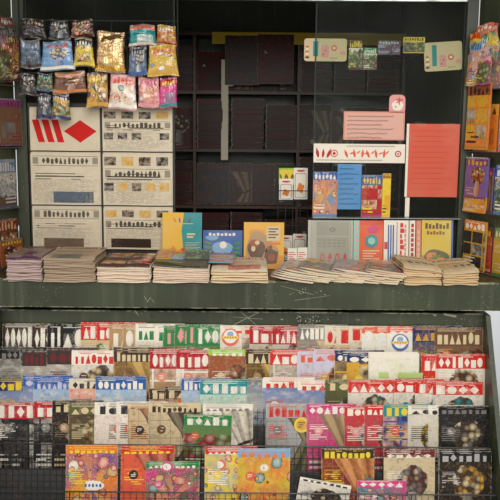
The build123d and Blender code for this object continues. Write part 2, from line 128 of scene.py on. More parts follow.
floor_corners = [(reach * x, reach * y, -drop) for x, y in ((-1, -1), (1, -1), (1, 1), (-1, 1))]
floor_mesh = bpy.data.meshes.new("studio_floor")
floor_mesh.from_pydata(floor_corners, [], [(0, 1, 2, 3)])
add_object("studio_floor", floor_mesh)
print("studio:", len(bpy.data.lights), "lamps")

# %% [markdown]
# Printers and painters name their colours, and so does this script. Each name stands for a colour as
# it is seen in plain light, from 0 to 255, and `tone` turns it into the linear values that the
# renderer works in. The last rows name wear and dirt, the papers of the piles and the dark covers
# of the back shelves, whose colours are painted shade.

# %% Named colours
SHADES = dict(
    black=(24, 21, 20), soot=(52, 46, 43), grey=(128, 122, 112), silver=(178, 172, 166),
    white=(244, 233, 212), paper=(226, 212, 184), cream=(222, 198, 152), tan=(184, 146, 98),
    brown=(104, 70, 46), umber=(62, 42, 30), maroon=(112, 36, 36), crimson=(182, 28, 38),
    red=(212, 42, 32), coral=(228, 96, 62), salmon=(230, 140, 112), pink=(232, 158, 152),
    magenta=(214, 62, 128), plum=(112, 60, 108), violet=(110, 92, 162), navy=(34, 44, 92),
    blue=(46, 92, 160), sky=(130, 170, 204), slate=(86, 104, 122), teal=(36, 142, 142),
    mint=(150, 204, 178), green=(42, 128, 66), leaf=(94, 132, 52), lime=(160, 202, 40),
    olive=(92, 92, 48), yellow=(240, 204, 58), gold=(218, 162, 46), orange=(230, 126, 38),
    rust=(158, 82, 44), lilac=(206, 200, 212), bottle=(59, 64, 42),
    dust=(116, 112, 92), grime=(46, 42, 34), bare_steel=(150, 146, 126), scuff=(140, 138, 112),
    undercoat=(196, 190, 160), gouge=(30, 26, 20), rust_speck=(112, 66, 36), tarnish=(88, 82, 70),
    dull_metal=(150, 150, 146), bright_metal=(206, 206, 200), pane=(200, 200, 190),
    walnut=(70, 48, 34), teak=(108, 78, 54), rubber=(38, 38, 36), trodden=(104, 98, 84),
    ash=(214, 190, 182), drab=(202, 178, 152), buff=(250, 232, 208), shell=(250, 228, 204),
    vellum=(246, 226, 186), corn=(240, 212, 166), sand=(236, 208, 160), mauve=(120, 84, 76),
    oat=(192, 168, 142), ivory=(240, 224, 190), wheat=(236, 212, 172), straw=(234, 208, 164),
    # Three cover colours darkened to stand in for the shade inside the cabin: painted shade.
    dim_red=(84, 24, 18), dim_brown=(58, 36, 24), dim_rust=(92, 48, 26),
)


def tone(shade, share=1.0):
    """A named colour, or red, green and blue from 0 to 255, as linear light times a share."""
    values = SHADES[shade] if isinstance(shade, str) else shade
    dark, toe, gain, power = 10.3, 0.055, 12.92, 2.4
    return tuple(
        share * (c / 255 / gain if c < dark else ((c / 255 + toe) / (1 + toe)) ** power) for c in values
    )


print("shades:", len(SHADES))

# %% [markdown]
# Every finish here is worked out from the surface's own coordinates. In Blender that is a tree of
# nodes, and long trees are hard to read in a script. So a `Wire` stands for one number or colour in
# such a tree and can be added, multiplied and compared like a plain number, and a `Finish` holds the
# material and the few kinds of node that this kiosk needs.


# %% A number or colour in a material's tree
class Wire:
    """A number or a colour on its way through a material's tree."""

    def __init__(self, finish, socket):
        self.finish = finish
        self.socket = socket

    def step(self, operation, *others, clamp=False):
        """One arithmetic node, fed with this wire and the others."""
        return self.finish.node("Math", self, *others, settings={"operation": operation, "use_clamp": clamp})

    def __rsub__(self, other):
        return self * -1.0 + other

    def fade(self, low, high):
        """0 at low, 1 at high and a straight ramp between; low may be the larger."""
        return (self - low).step("DIVIDE", high - low, clamp=True)

    def within(self, low, high):
        """1 between low and high, 0 elsewhere."""
        return (self > low) * (self < high)

    def parts(self):
        """The three parts of a vector or colour."""
        split = self.finish.node("SeparateXYZ", self).socket.node
        return [Wire(self.finish, output) for output in split.outputs]


OPERATIONS = dict(
    __add__="ADD", __radd__="ADD", __sub__="SUBTRACT", __mul__="MULTIPLY", __rmul__="MULTIPLY",
    __truediv__="DIVIDE", __gt__="GREATER_THAN", __lt__="LESS_THAN", floor="FLOOR", part="FRACT",
    size="ABSOLUTE", wave="SINE", root="SQRT", most="MAXIMUM",
)
for sign, operation in OPERATIONS.items():
    setattr(Wire, sign, partialmethod(Wire.step, operation))
print("arithmetic on wires:", len(OPERATIONS))


# %% A material and the nodes that this kiosk needs
class Finish:
    """A procedural material, with short ways to add to its tree."""

    def __init__(self, name, **settings):
        self.material = bpy.data.materials.new(name)
        self.material.use_nodes = True
        self.tree = self.material.node_tree
        self.shader = self.tree.nodes["Principled BSDF"]
        for setting, value in settings.items():
            self.feed(self.shader.inputs[setting.replace("_", " ")], value)

    def feed(self, socket, value):
        """Links a wire to a socket, or writes a number or a colour, named or linear, in it."""
        if isinstance(value, Wire):
            self.tree.links.new(value.socket, socket)
        else:
            value = tone(value) if isinstance(value, str) else value
            socket.default_value = (*value, 1.0) if isinstance(value, tuple) else value

    def node(self, kind, *values, output=0, settings=None, **inputs):
        """A new node, fed in order and by name. Gives the wire of one output."""
        made = self.tree.nodes.new("ShaderNode" + kind)
        for setting, value in (settings or {}).items():
            setattr(made, setting, value)
        for place, value in [*enumerate(values), *inputs.items()]:
            self.feed(made.inputs[place], value)
        return Wire(self, made.outputs[output])

    def place(self):
        """The object's own X, Y and Z, in metres."""
        return self.node("TexCoord", output="Object").parts()

    def vector(self, *values):
        """Joins up to three numbers."""
        return self.node("CombineXYZ", *values)

    def noise(self, scale, detail=2.0, at=None):
        """Cloudy noise around one half, at the object's own place if no other is given."""
        at = self.node("TexCoord", output="Object") if at is None else at
        return self.node("TexNoise", at, Scale=scale, Detail=detail)

    def cells(self, scale, at, output="Distance"):
        """Cells about scattered points: the distance to the nearest point, or its colour."""
        return self.node("TexVoronoi", at, output=output, Scale=scale)

    def chance(self, *values):
        """Three unrelated numbers from 0 to 1 that are the same wherever the values are."""
        return self.node("TexWhiteNoise", self.vector(*values), output="Color").parts()

    def mix(self, share, first, second):
        """The first colour turning into the second as share goes from 0 to 1."""
        mixed = self.node("Mix", share, output=2, settings={"data_type": "RGBA"})
        for place, colour in ((6, first), (7, second)):
            self.feed(mixed.socket.node.inputs[place], colour)
        return mixed

    def relief(self, height, depth):
        """Bump from a height, in metres."""
        return self.node("Bump", output="Normal", Distance=depth, Height=height)

    def see_through(self, share, tint=(1.0, 1.0, 1.0)):
        """Lets light through, apart from a share that meets the shader."""
        clear = self.node("BsdfTransparent", tint)
        both = self.node("MixShader", share, clear, Wire(self, self.shader.outputs[0]))
        self.feed(self.tree.nodes["Material Output"].inputs[0], both)
        return self.material

    def finish(self, colour, roughness, normal=None):
        """Connects what was worked out to the shader and gives the material."""
        self.feed(self.shader.inputs["Base Color"], colour)
        self.feed(self.shader.inputs["Roughness"], roughness)
        if normal is not None:
            self.feed(self.shader.inputs["Normal"], normal)
        return self.material


# %% [markdown]
# The cabin, the counter's front board and the cabinet are sheet steel in bottle green enamel. It was
# brushed on, so it has a fine ripple, runs a little darker in patches, holds dust in upright streaks
# and is chipped to bare metal where it is touched most. A flat colour with one noise would look like
# plastic, so dust, scuffs and chips each change colour, gloss and relief together.


# %% Painted sheet steel
def paint(name, shade, wear=1.0, dull=0.0):
    """Brushed enamel on sheet steel: the finish, then its colour, roughness and height to add to."""
    f = Finish(name, Specular_IOR_Level=0.45 * (1 - dull))
    x, y, z = f.place()
    patches = f.noise(2.4, 3.0)
    fine = f.noise(260.0, 1.0)
    colour = f.mix(patches.fade(0.32, 0.68), tone(shade, 0.72), tone(shade, 1.3))
    streaks = f.noise(1.0, 3.0, f.vector(x * 34.0, y * 34.0, z * 2.2)).fade(0.52, 0.78)
    colour = f.mix(streaks * 0.3, colour, "dust")
    grime = f.noise(7.0, 4.0).fade(0.5, 0.75) * z.fade(0.7, 0.05)
    colour = f.mix(grime * 0.55, colour, "grime")
    worn = f.noise(3.1, 2.0).fade(0.54, 0.62)
    flecks = f.noise(170.0, 2.0).fade(0.685, 0.7) * worn
    scuffs = f.noise(1.0, 2.0, f.vector(x * 9.0 + z * 50.0, y * 9.0, z * 90.0 - x * 60.0)).fade(0.71, 0.76)
    colour = f.mix(flecks * wear, colour, "bare_steel")
    colour = f.mix(scuffs * worn * 0.3 * wear, colour, "scuff")
    roughness = patches * 0.12 + fine * 0.08 + streaks * 0.16 + flecks * 0.3 + 0.26 + 0.4 * dull
    height = fine * 0.25 + f.noise(11.0, 1.0) * 1.6 - flecks * 0.6 * wear
    return f, colour, roughness, height


def plain_paint(name, shade, wear=1.0, dull=0.0):
    """Painted steel with nothing more on it."""
    f, colour, roughness, height = paint(name, shade, wear, dull)
    return f.finish(colour, roughness, f.relief(height, 0.0006))


cabin_green = plain_paint("cabin_green", "bottle")
soffit_green = plain_paint("soffit_paint", (86, 92, 70), wear=0.3)
roof_green = plain_paint("roof_paint", (78, 88, 70), wear=0.8, dull=0.85)
print("paints:", cabin_green.name, soffit_green.name, roof_green.name)

# %% [markdown]
# The counter's front board and the cabinet under it take the knocks. The paint there has long
# crossed scratches, a cloud of small chips to the right of the middle and two larger chips with
# white undercoat showing. They could be cut into the mesh, but they are shallower than the paint is
# thick, so each one is worked out as the distance from a point to a short line. A line is given by
# the X and Z of its two ends and its half width, and a cloud by its middle and reach, in millimetres.


# %% Scratches and chips on the counter's front
def near_line(f, x, z, line):
    """1 on a ragged line between two points in the XZ plane, 0 away from it."""
    start_x, start_z, end_x, end_z, half_width = [value / 1000 for value in line]
    run_x, run_z = end_x - start_x, end_z - start_z
    share = (x - start_x) * run_x + (z - start_z) * run_z
    along = share.step("DIVIDE", run_x**2 + run_z**2, clamp=True)
    off_x = x - along * run_x - start_x
    off_z = z - along * run_z - start_z
    distance = (off_x * off_x + off_z * off_z).root()
    ragged = f.noise(160.0, 2.0) * half_width * 1.6
    return (distance + ragged).fade(half_width * 1.9, half_width * 1.2)


def scratched(name, node, cloud, pale_lines, dark_lines):
    """Bottle green on a CAD node, with its scratches and with chips inside a cloud."""
    f, colour, roughness, height = paint(name, "bottle", wear=1.2)
    x, y, z = f.place()
    middle_x, middle_z, reach_x, reach_z = [value / 1000 for value in cloud]
    off_x = (x - middle_x) / reach_x
    off_z = (z - middle_z) / reach_z
    inside = (off_x * off_x + off_z * off_z).root().fade(1.0, 0.25)
    chips = f.cells(120.0, f.vector(x, y, z)).fade(0.34, 0.26) * (f.noise(26.0, 3.0) + inside * 0.22 > 0.66)
    damage = chips * inside.fade(0.02, 0.2)
    for line in pale_lines:
        damage = damage.most(near_line(f, x, z, line))
    edge_wear = f.noise(44.0, 3.0) * 0.5 + f.noise(6.0, 2.0) * 0.5
    low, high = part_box(node)
    rim = (z - high.z + 0.006).fade(0.0, 0.005).most((z - low.z - 0.004).fade(0.0, -0.004))
    damage = damage.most(rim * edge_wear.fade(0.46, 0.56))
    colour = f.mix(damage * 0.85, colour, "undercoat")
    for line in dark_lines:
        colour = f.mix(near_line(f, x, z, line) * 0.8, colour, "gouge")
    return f.finish(colour, roughness + damage * 0.25, f.relief(height - damage * 1.5, 0.0006))


# %% The counter's front board and the cabinet's front
band_green = scratched(
    "band_green",
    "cabinet_front",
    cloud=(334, 852, 190, 30),
    pale_lines=(
        (-40, 827, 84, 890, 1.4),
        (-11, 889, 59, 828, 1.2),
        (-41, 862, 88, 854, 1.0),
        (-461, 884, -448, 868, 2.2),
        (868, 882, 916, 873, 5.0),
        (822, 880, 830, 877, 4.0),
    ),
    dark_lines=((-392, 872, -386, 852, 3.0), (-72, 886, -66, 870, 2.6)),
)
board_green = scratched(
    "board_green",
    "counter_fascia",
    cloud=(262, 985, 120, 30),
    pale_lines=(
        (-412, 962, -400, 938, 1.0),
        (-400, 938, -388, 958, 1.0),
        (-388, 958, -372, 936, 1.0),
        (160, 1012, 300, 975, 0.8),
        (220, 950, 366, 972, 0.8),
    ),
    dark_lines=((640, 925, 700, 929, 2.0),),
)
print("front finishes:", band_green.name, board_green.name)

# %% [markdown]
# The other hard finishes: dark painted steel on trays and ledges, the trays' steel made darker still as
# painted shade, black wire, drawn aluminium on the panes' tracks, window glass, laminated shelf board
# and a ribbed rubber floor. Clear glass could be a refracting solid, but lamps don't shine through such a
# solid in a path tracer, so a thin pane is better as a mirror-like skin that is almost all see-through,
# with some dust and wiped streaks.


# %% Steel, wire, aluminium, glass, board and rubber
def steel(name, shade, gloss, rust):
    """Painted or coated steel with rub marks and specks of rust."""
    f = Finish(name)
    x, y, z = f.place()
    rubbed = f.noise(1.0, 2.0, f.vector(x * 12.0, y * 60.0, z * 60.0))
    colour = f.mix(rubbed.fade(0.3, 0.8), tone(shade), tone(shade, 1.9))
    specks = f.noise(60.0, 3.0).fade(0.63, 0.70) * rust
    colour = f.mix(specks, colour, "rust_speck")
    rough = rubbed * 0.2 + specks * 0.35 + (0.5 - gloss * 0.3)
    return f.finish(colour, rough, f.relief(f.noise(180.0, 1.0) * 0.5 + specks, 0.0004))


def drawn_aluminium():
    """Mill finished section: fine lines along X and dull rub marks."""
    f = Finish("aluminium", Metallic=1.0)
    x, y, z = f.place()
    lines = f.noise(1.0, 2.0, f.vector(x * 3.0, y * 900.0, z * 900.0))
    dirt = f.noise(14.0, 4.0).fade(0.52, 0.75)
    colour = f.mix(dirt * 0.6, f.mix(lines, "dull_metal", "bright_metal"), "tarnish")
    return f.finish(colour, lines * 0.15 + dirt * 0.3 + 0.24, f.relief(lines, 0.0002))


def window_glass():
    """A thin pane: a faint skin of gloss and dust over a see-through shader."""
    f = Finish("window_glass", Specular_IOR_Level=0.3)
    x, y, z = f.place()
    wiped = f.noise(1.0, 2.0, f.vector(x * 4.0, y, z * 26.0)).fade(0.6, 0.8)
    dust = f.noise(5.0, 4.0).fade(0.45, 0.8) * 0.6 + wiped
    f.finish("pane", dust * 0.1 + 0.04)
    gloss = f.node("LayerWeight", 0.16, output="Fresnel") * 0.5
    return f.see_through(gloss + dust * 0.022 + 0.008, (0.93, 0.96, 0.94))


def shelf_board():
    """Laminated board in dark brown, with a fine printed grain."""
    f = Finish("shelf_laminate")
    x, y, z = f.place()
    grain = f.noise(1.0, 4.0, f.vector(x * 4.0, y * 60.0, z * 60.0))
    colour = f.mix(grain.fade(0.3, 0.7), "walnut", "teak")
    return f.finish(colour, grain * 0.15 + 0.4, f.relief(grain, 0.0002))


def ribbed_rubber():
    """Floor rubber with ribs along X and dust trodden into it."""
    f = Finish("ribbed_rubber")
    rib = (f.place()[1] * 520.0).wave().fade(-0.4, 0.4)
    dust = f.noise(5.0, 4.0).fade(0.42, 0.7)
    return f.finish(f.mix(dust * 0.5, "rubber", "trodden"), rib * -0.1 + 0.75, f.relief(rib, 0.0012))


# %% The hard pieces in their finishes
def dress(material, names):
    """Gives CAD nodes a better material in their own slots."""
    for name in names.split():
        for slot in nodes[name].material_slots:
            slot.material = material


ledge_steel = steel("ledge_steel", (58, 60, 52), gloss=0.6, rust=0.3)
black_wire = steel("black_wire", (20, 19, 18), gloss=0.9, rust=0.15)
aluminium = drawn_aluminium()
dress(cabin_green, "corner_posts side_wall_left side_wall_right side_wall_over_door back_wall front_wall")
dress(cabin_green, "header_beam door_frame side_door roof_fascia counter_top vendor_shelf cabinet_top")
dress(cabin_green, "rack_cheeks display_wings")
dress(board_green, "counter_fascia")
dress(band_green, "cabinet_front")
dress(soffit_green, "ceiling")
dress(roof_green, "roof_deck roof_cover")
# Dark painted steel, made nearly black so that it also stands in for the shade in the trays behind the
# magazines: painted shade.
tray_steel_with_shade = steel("tray_steel_with_shade", (31, 29, 26), gloss=0.4, rust=0.7)
dress(tray_steel_with_shade, "plinth roof_joists counter_brackets rack_trays newspaper_board")
dress(ledge_steel, "wing_hinges wing_ledges door_handle")
dress(steel("rail_black", (16, 15, 14), gloss=-0.6, rust=0.15), "bag_rack")
dress(aluminium, "pane_tracks book_ledge")
dress(window_glass(), "sliding_panes")
dress(shelf_board(), "shelf_uprights shelf_boards")
dress(ribbed_rubber(), "floor")
print("dressed the hard pieces")

# %% [markdown]
# Nearly everything on sale here is a sheet or a thin block of sheets: magazines, newspapers, books,
# cards and notices. Each could be its own object, but there are hundreds, so a `Stock` gathers many
# closed sheets in one mesh. Every sheet is bent a little, has a front, a back and a rim of page
# edges, and carries its own inks as attributes, so one finish can print a different cover on each.

# %% Inks, looks and handing over
INKS = ("paper", "band", "ink", "tint", "spot")
draw = random.Random(11)
shift = Matrix.Translation


def turned(degrees, axis="Y"):
    """A turn about one axis."""
    return Matrix.Rotation(radians(degrees), 4, axis)


def look(inks, title=0.2, choice=1.0):
    """The five inks of one printed thing and the plan of its cover: seed, title height and a choice."""
    shades = inks.split() if isinstance(inks, str) else inks
    return (*map(tone, shades), (draw.random(), title, choice))


def plain(shade):
    """A look of one ink."""
    return look([shade] * len(INKS))


def hand_over(name, mesh, replaced, sharp):
    """Makes a mesh a piece that rides with the kiosk, in place of the nodes that it replaces."""
    mesh.shade_smooth()
    mesh.set_sharp_from_angle(angle=radians(sharp))
    piece = add_object(name, mesh)
    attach(piece, "root")
    if replaced:
        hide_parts(*replaced)
    print(name, "has", len(mesh.polygons), "faces")


print("inks of an item:", INKS)


# %% Sheets and blocks gathered in one mesh
class Stock:
    """Closed sheets, covers and blocks, gathered in one mesh. Its finishes go by name."""

    def __init__(self, name, **finishes):
        self.name = name
        self.finishes = finishes
        self.order = list(finishes)
        self.points = []
        self.faces = []
        self.pages = []
        self.picks = []
        self.looks = []

    def face(self, corners, pages, finish):
        """One face, with its place on the page and its finish."""
        self.faces.append(corners)
        self.pages += pages
        self.picks.append(self.order.index(finish))

    def leaf(self, place, size, a_look, cover, edge="edge", cells=(4, 6), bend=None, full=None):
        """A sheet or block of width, height and thickness, standing in the XZ plane of its place.

        bend(u, v) moves a point, and full(u, v) is the share of the thickness that is left there.
        Two grids of points are closed by a rim. Rows run up and columns run to the right.
        """
        width, height, thick = size
        columns, rows = cells[0] + 1, cells[1] + 1
        start, count = len(self.points), rows * columns
        front, back = [], []
        for row in range(rows):
            for column in range(columns):
                u, v = column / cells[0], row / cells[1]
                spot = Vector((u * width, 0, v * height)) + Vector(bend(u, v) if bend else (0, 0, 0))
                share = full(u, v) if full else 1.0
                front.append(place @ (spot - Vector((0, thick * (0.5 + 0.5 * share), 0))))
                back.append(place @ (spot - Vector((0, thick * (0.5 - 0.5 * share), 0))))
        self.points += front + back
        self.looks += [a_look] * (2 * count)
        for row in range(cells[1]):
            for column in range(cells[0]):
                ring = [(row, column), (row, column + 1), (row + 1, column + 1), (row + 1, column)]
                spots = [(c / cells[0], r / cells[1]) for r, c in ring]
                corners = [start + r * columns + c for r, c in ring]
                self.face(corners, spots, cover)
                self.face([c + count for c in corners[::-1]], [(1 - u, v) for u, v in spots[::-1]], cover)
        rim = [
            *range(columns),
            *range(2 * columns - 1, count, columns),
            *range(count - 2, count - columns - 1, -1),
            *range(count - 2 * columns, 0, -columns),
        ]
        for i, (here, there) in enumerate(zip(rim, rim[1:] + rim[:1])):
            near, far = i / len(rim), (i + 1) / len(rim)
            corners = [start + count + here, start + count + there, start + there, start + here]
            self.face(corners, [(near, 0), (far, 0), (far, 1), (near, 1)], edge)

    def patch(self, place, outline, thick, shade, finish="card"):
        """A thin flat shape, from points (x, z) in millimetres in the XZ plane of its place."""
        start, count = len(self.points), len(outline)
        for y in (-thick, 0):
            self.points += [place @ Vector((x / 1000, y, z / 1000)) for x, z in outline]
        self.looks += [plain(shade)] * (2 * count)
        front = [start + i for i in range(count)]
        back = [i + count for i in front]
        rim = [(back[i], back[(i + 1) % count], front[(i + 1) % count], front[i]) for i in range(count)]
        for corners in (front, back[::-1], *rim):
            self.face(corners, [(0.5, 0.5)] * len(corners), finish)

    def finish(self, slot, *replaced, sharp=40):
        """Makes the mesh, with its finishes, page places, inks and plans, and hands it over."""
        mesh = bpy.data.meshes.new(self.name)
        mesh.from_pydata([tuple(p) for p in self.points], [], self.faces)
        for material in self.finishes.values():
            mesh.materials.append(material)
        mesh.polygons.foreach_set("material_index", self.picks)
        mesh.uv_layers.new(name="page").data.foreach_set("uv", np.array(self.pages, np.float32).ravel())
        for place, name in enumerate(INKS):
            values = np.ones((len(self.looks), 4), np.float32)
            values[:, :3] = [a_look[place] for a_look in self.looks]
            mesh.attributes.new(name, "FLOAT_COLOR", "POINT").data.foreach_set("color", values.ravel())
        plans = np.array([a_look[-1] for a_look in self.looks], np.float32)
        mesh.attributes.new("plan", "FLOAT_VECTOR", "POINT").data.foreach_set("vector", plans.ravel())
        hand_over(self.name, mesh, replaced, sharp)


# %% [markdown]
# A magazine cover is a picture, a title over it or in a coloured band, small lines of text, a round
# sticker and a strip at the foot. The titles here are rows of plain blocks, as a designer lays them
# out before there are words, so nothing can be read. What is left is the rhythm of size and colour
# that makes a news-stand look like one. Each picture style is a short function.


# %% Shapes in place of words
class Print(Finish):
    """A finish for printed sheets. It knows the place on the page, and the item's inks and plan."""

    page_tall = 1.36

    def __init__(self, name, **settings):
        super().__init__(name, **settings)
        self.u, self.v, _ = self.node("UVMap", settings={"uv_map": "page"}).parts()
        plan = self.node("Attribute", output="Vector", settings={"attribute_name": "plan"})
        self.seed, self.head, self.choice = plan.parts()
        for name in INKS:
            ink = self.node("Attribute", output="Color", settings={"attribute_name": name})
            setattr(self, name, ink)

    def spread(self, times):
        """A point on the page in even steps, moved by the item's seed."""
        return self.vector(self.u, self.v * self.page_tall, self.seed * times)

    def disc(self, middle_u, middle_v, radius, ragged=0.0):
        """1 inside a circle on the page."""
        off_u, off_v = self.u - middle_u, (self.v + ragged - middle_v) * self.page_tall
        return (off_u * off_u + off_v * off_v).root().fade(radius, radius * 0.94)

    def title(self, top, height, count, left=0.05, right=0.95):
        """A row of blocks, ovals, wedges and lozenges where a title would be: 1 on a shape."""
        across = (self.u - left) / (right - left) * count
        up = (self.v - top + height) / height
        cell, part = across.floor(), across.part()
        first, second, third = self.chance(cell, self.seed * 53.0)
        side, rise = (part - 0.46).size(), (up - 0.5).size()
        low = up * (1.0 + (third > 0.4) * 0.36)
        block = (side < 0.2 + second * 0.2) * (low < 1.0) * (first > 0.46)
        oval = (side * side * 1.2 + rise * rise < 0.2) * first.within(0.3, 0.46)
        wedge = (side < (1.0 - low) * 0.44) * first.within(0.14, 0.3)
        lozenge = (side + rise * 0.9 < 0.42) * (first < 0.14)
        shapes = block.most(oval).most(wedge).most(lozenge)
        return shapes * up.within(0.0, 1.0) * self.u.within(left, right) * (part < 0.93)

    def text(self, lines, words, left, right, low, high, seed_times=1.0):
        """Rows of small bars, broken as words are: 1 on a bar."""
        seed = self.seed * seed_times
        rows = self.v * lines
        row, part = rows.floor(), rows.part()
        chance = self.chance((self.u * words + row * 0.37).floor(), row + seed * 29.0)[0]
        stop = self.chance(row * 3.0, seed * 17.0)[0] * 0.35 * (right - left)
        bars = part.within(0.28, 0.74) * (chance > 0.22)
        return bars * self.u.within(left, right - stop) * self.v.within(low, high)


# %% Pictures of a view, a vase, cloth and fruit
def view_picture(f):
    """Sky over far hills, a bright lowland and a dark foreground."""
    u, v, seed = f.u, f.v, f.seed
    clouds = f.noise(5.0, 4.0, f.vector(u, v * 2.6, seed * 40.0))
    sky = f.mix(v.fade(1.0, 0.4) * 0.7 + clouds.fade(0.5, 0.75) * 0.5, f.tint, "white")
    far = f.noise(3.0, 3.0, f.vector(u, seed * 31.0, 0.5)) * 0.55 + 0.28
    near = f.noise(4.5, 4.0, f.vector(u, seed * 13.0, 2.5)) * 0.5 + 0.02
    shaded = f.noise(18.0, 3.0, f.vector(u, v, seed * 9.0)).fade(0.3, 0.7)
    hills = f.mix(shaded * 0.5, f.mix(0.55, f.tint, "slate"), "white")
    colour = f.mix(v < far, sky, hills)
    return f.mix(v < near, colour, f.mix(shaded, f.spot, "soot"))


def still_picture(f):
    """A vase with a round bunch of flowers on a plain ground."""
    u, v, at = f.u, f.v, f.spread(23.0)
    ground = f.mix(f.noise(3.0, 2.0, at), f.paper, f.mix(0.35, f.paper, f.tint))
    pick = f.cells(9.0, at, "Color").parts()[0]
    bunch = f.mix(pick > 0.62, f.mix(pick.fade(0.2, 0.5), f.tint, f.spot), "cream")
    bunch = f.mix(f.cells(9.0, at).fade(0.2, 0.75), bunch, "umber")
    colour = f.mix(f.disc(0.56, 0.66, 0.31, f.noise(7.0, 3.0, at) * 0.16), ground, bunch)
    body = (u - 0.56).size() + (v - 0.22).size() * 0.25 < 0.13
    vase = f.mix(u.fade(0.4, 0.7), f.mix(0.5, f.tint, "white"), f.tint)
    return f.mix(body * v.within(0.06, 0.44), colour, vase)


def cloth_picture(f):
    """A tied curtain in the light of a window, with a plain wall on its left."""
    u, v = f.u, f.v
    warp = f.noise(3.0, 3.0, f.vector(u, v, f.seed * 37.0))
    knot = f.seed * 0.2 + 0.3
    width = (v - knot).size() * 0.85 + warp * 0.16 + 0.2
    along = (1.0 - u) / width
    folds = (along * 15.0 + warp * 5.0).wave() * 0.5 + 0.5
    fine = (along * 41.0 + warp * 9.0).wave() * 0.5 + 0.5
    light = folds * 0.7 + fine * 0.2 + along * 0.15
    cloth = f.mix(light, f.mix(0.72, f.tint, "black"), f.mix(0.35, f.tint, "cream"))
    cloth = f.mix((v - knot + (along - 0.5) * 0.08).size() < 0.022, cloth, f.spot)
    ground = f.mix(u.fade(0.0, 0.5) * 0.6 + warp * 0.5, f.mix(0.25, f.paper, f.tint), f.paper)
    bars = (u * 5.0).part().within(0.05, 0.12).most((v * 4.0).part().within(0.05, 0.1)) * (v > 0.3)
    ground = f.mix(bars * 0.5, ground, f.mix(0.5, f.tint, "grey"))
    return f.mix(along < 1.0, ground, cloth)


def fruit_picture(f):
    """Round fruit and leaves piled on a table, lit from above."""
    u, v, at = f.u, f.v, f.spread(19.0)
    pick = f.cells(5.0, at, "Color").parts()[1]
    fruit = f.mix(pick > 0.3, f.mix(pick > 0.66, f.tint, f.spot), "leaf")
    lit, shaded = f.mix(0.35, fruit, "white"), f.mix(0.6, fruit, "umber")
    fruit = f.mix(f.cells(5.0, at).fade(0.1, 0.55), lit, shaded)
    top = f.noise(4.0, 1.0, f.vector(u, f.seed * 5.0)) * 0.3 + 0.52
    ground = f.mix(v.fade(0.5, 1.0), f.mix(0.3, f.paper, "tan"), f.paper)
    return f.mix(v < top, ground, fruit)


# %% Bright, boxed and plain pictures
def toy_picture(f):
    """A bright swirl with rays, balloons and confetti."""
    u, v, at = f.u, f.v, f.spread(43.0)
    swirl = f.noise(2.2, 4.0, at)
    warp = f.noise(3.0, 2.0, f.spread(11.0))
    colour = f.mix(swirl.fade(0.36, 0.62), f.mix(0.25, f.tint, "soot"), f.spot)
    off_u, off_v = u - 0.5, (v - 0.42) * f.page_tall
    reach = (off_u * off_u + off_v * off_v).root()
    rays = ((off_u / (reach + 0.02)) * 9.0 + warp * 5.0).wave() > 0.35
    colour = f.mix(rays * reach.fade(0.62, 0.2) * 0.8, colour, f.mix(0.5, "yellow", f.spot))
    for scale, share, rim in ((3.1, 0.3, 0.03), (6.5, 0.5, 0.05)):
        round_at = f.vector(u + warp * 0.12, v * f.page_tall + swirl * 0.1, f.seed * 43.0 + scale)
        balloons = f.cells(scale, round_at)
        first, second, third = f.cells(scale, round_at, "Color").parts()
        ball = f.mix(first > 0.5, "coral", f.mix(second > 0.5, "white", "teal"))
        ball = f.mix(first > 0.78, ball, "gold")
        ball = f.mix(balloons.fade(0.12, 0.34), f.mix(0.55, ball, "white"), f.mix(0.2, ball, "umber"))
        colour = f.mix((balloons < 0.36) * (third > share), colour, ball)
        colour = f.mix(balloons.within(0.36 - rim, 0.36) * (third > share), colour, "maroon")
    confetti = f.mix(0.5, f.cells(23.0, at, "Color"), "white")
    return f.mix((f.cells(23.0, at) < 0.2) * 0.8, colour, confetti)


def panel_picture(f):
    """A weekly's cover: boxed panels of colour, each with a few lines, and one soft picture."""
    across, up = f.u * 2.0 + f.seed, f.v * 4.0 + f.seed * 3.0
    first, second, _ = f.chance(across.floor(), up.floor(), f.seed * 11.0)
    inside = across.part().within(0.04, 0.96) * up.part().within(0.05, 0.95)
    soft = f.noise(6.0, 4.0, f.spread(3.0)).fade(0.35, 0.65)
    shot = f.mix(soft, f.mix(0.5, f.tint, "soot"), f.mix(0.55, f.spot, "white"))
    box = f.mix(first > 0.55, f.mix(second > 0.5, f.paper, f.tint), shot)
    return f.mix(inside, f.paper, box)


def plain_picture(f):
    """Paper in one colour with a faint cloudy print and one block of the accent near the middle."""
    soft = f.noise(4.0, 3.0, f.spread(5.0))
    colour = f.mix(soft.fade(0.4, 0.7) * 0.5, f.paper, f.mix(0.3, f.paper, f.tint))
    return f.mix(f.u.within(0.3, 0.9) * f.v.within(0.16, 0.5), colour, f.mix(soft, f.tint, f.spot))


# %% [markdown]
# `cover` prints a picture and lays the title, text, sticker and foot strip over it. Coated paper has
# a soft gloss with a little waviness, and its surface is rubbed at the edges. The rim of a magazine
# shows the edges of its leaves as fine grey lines, and so does a newspaper's, in warmer paper.


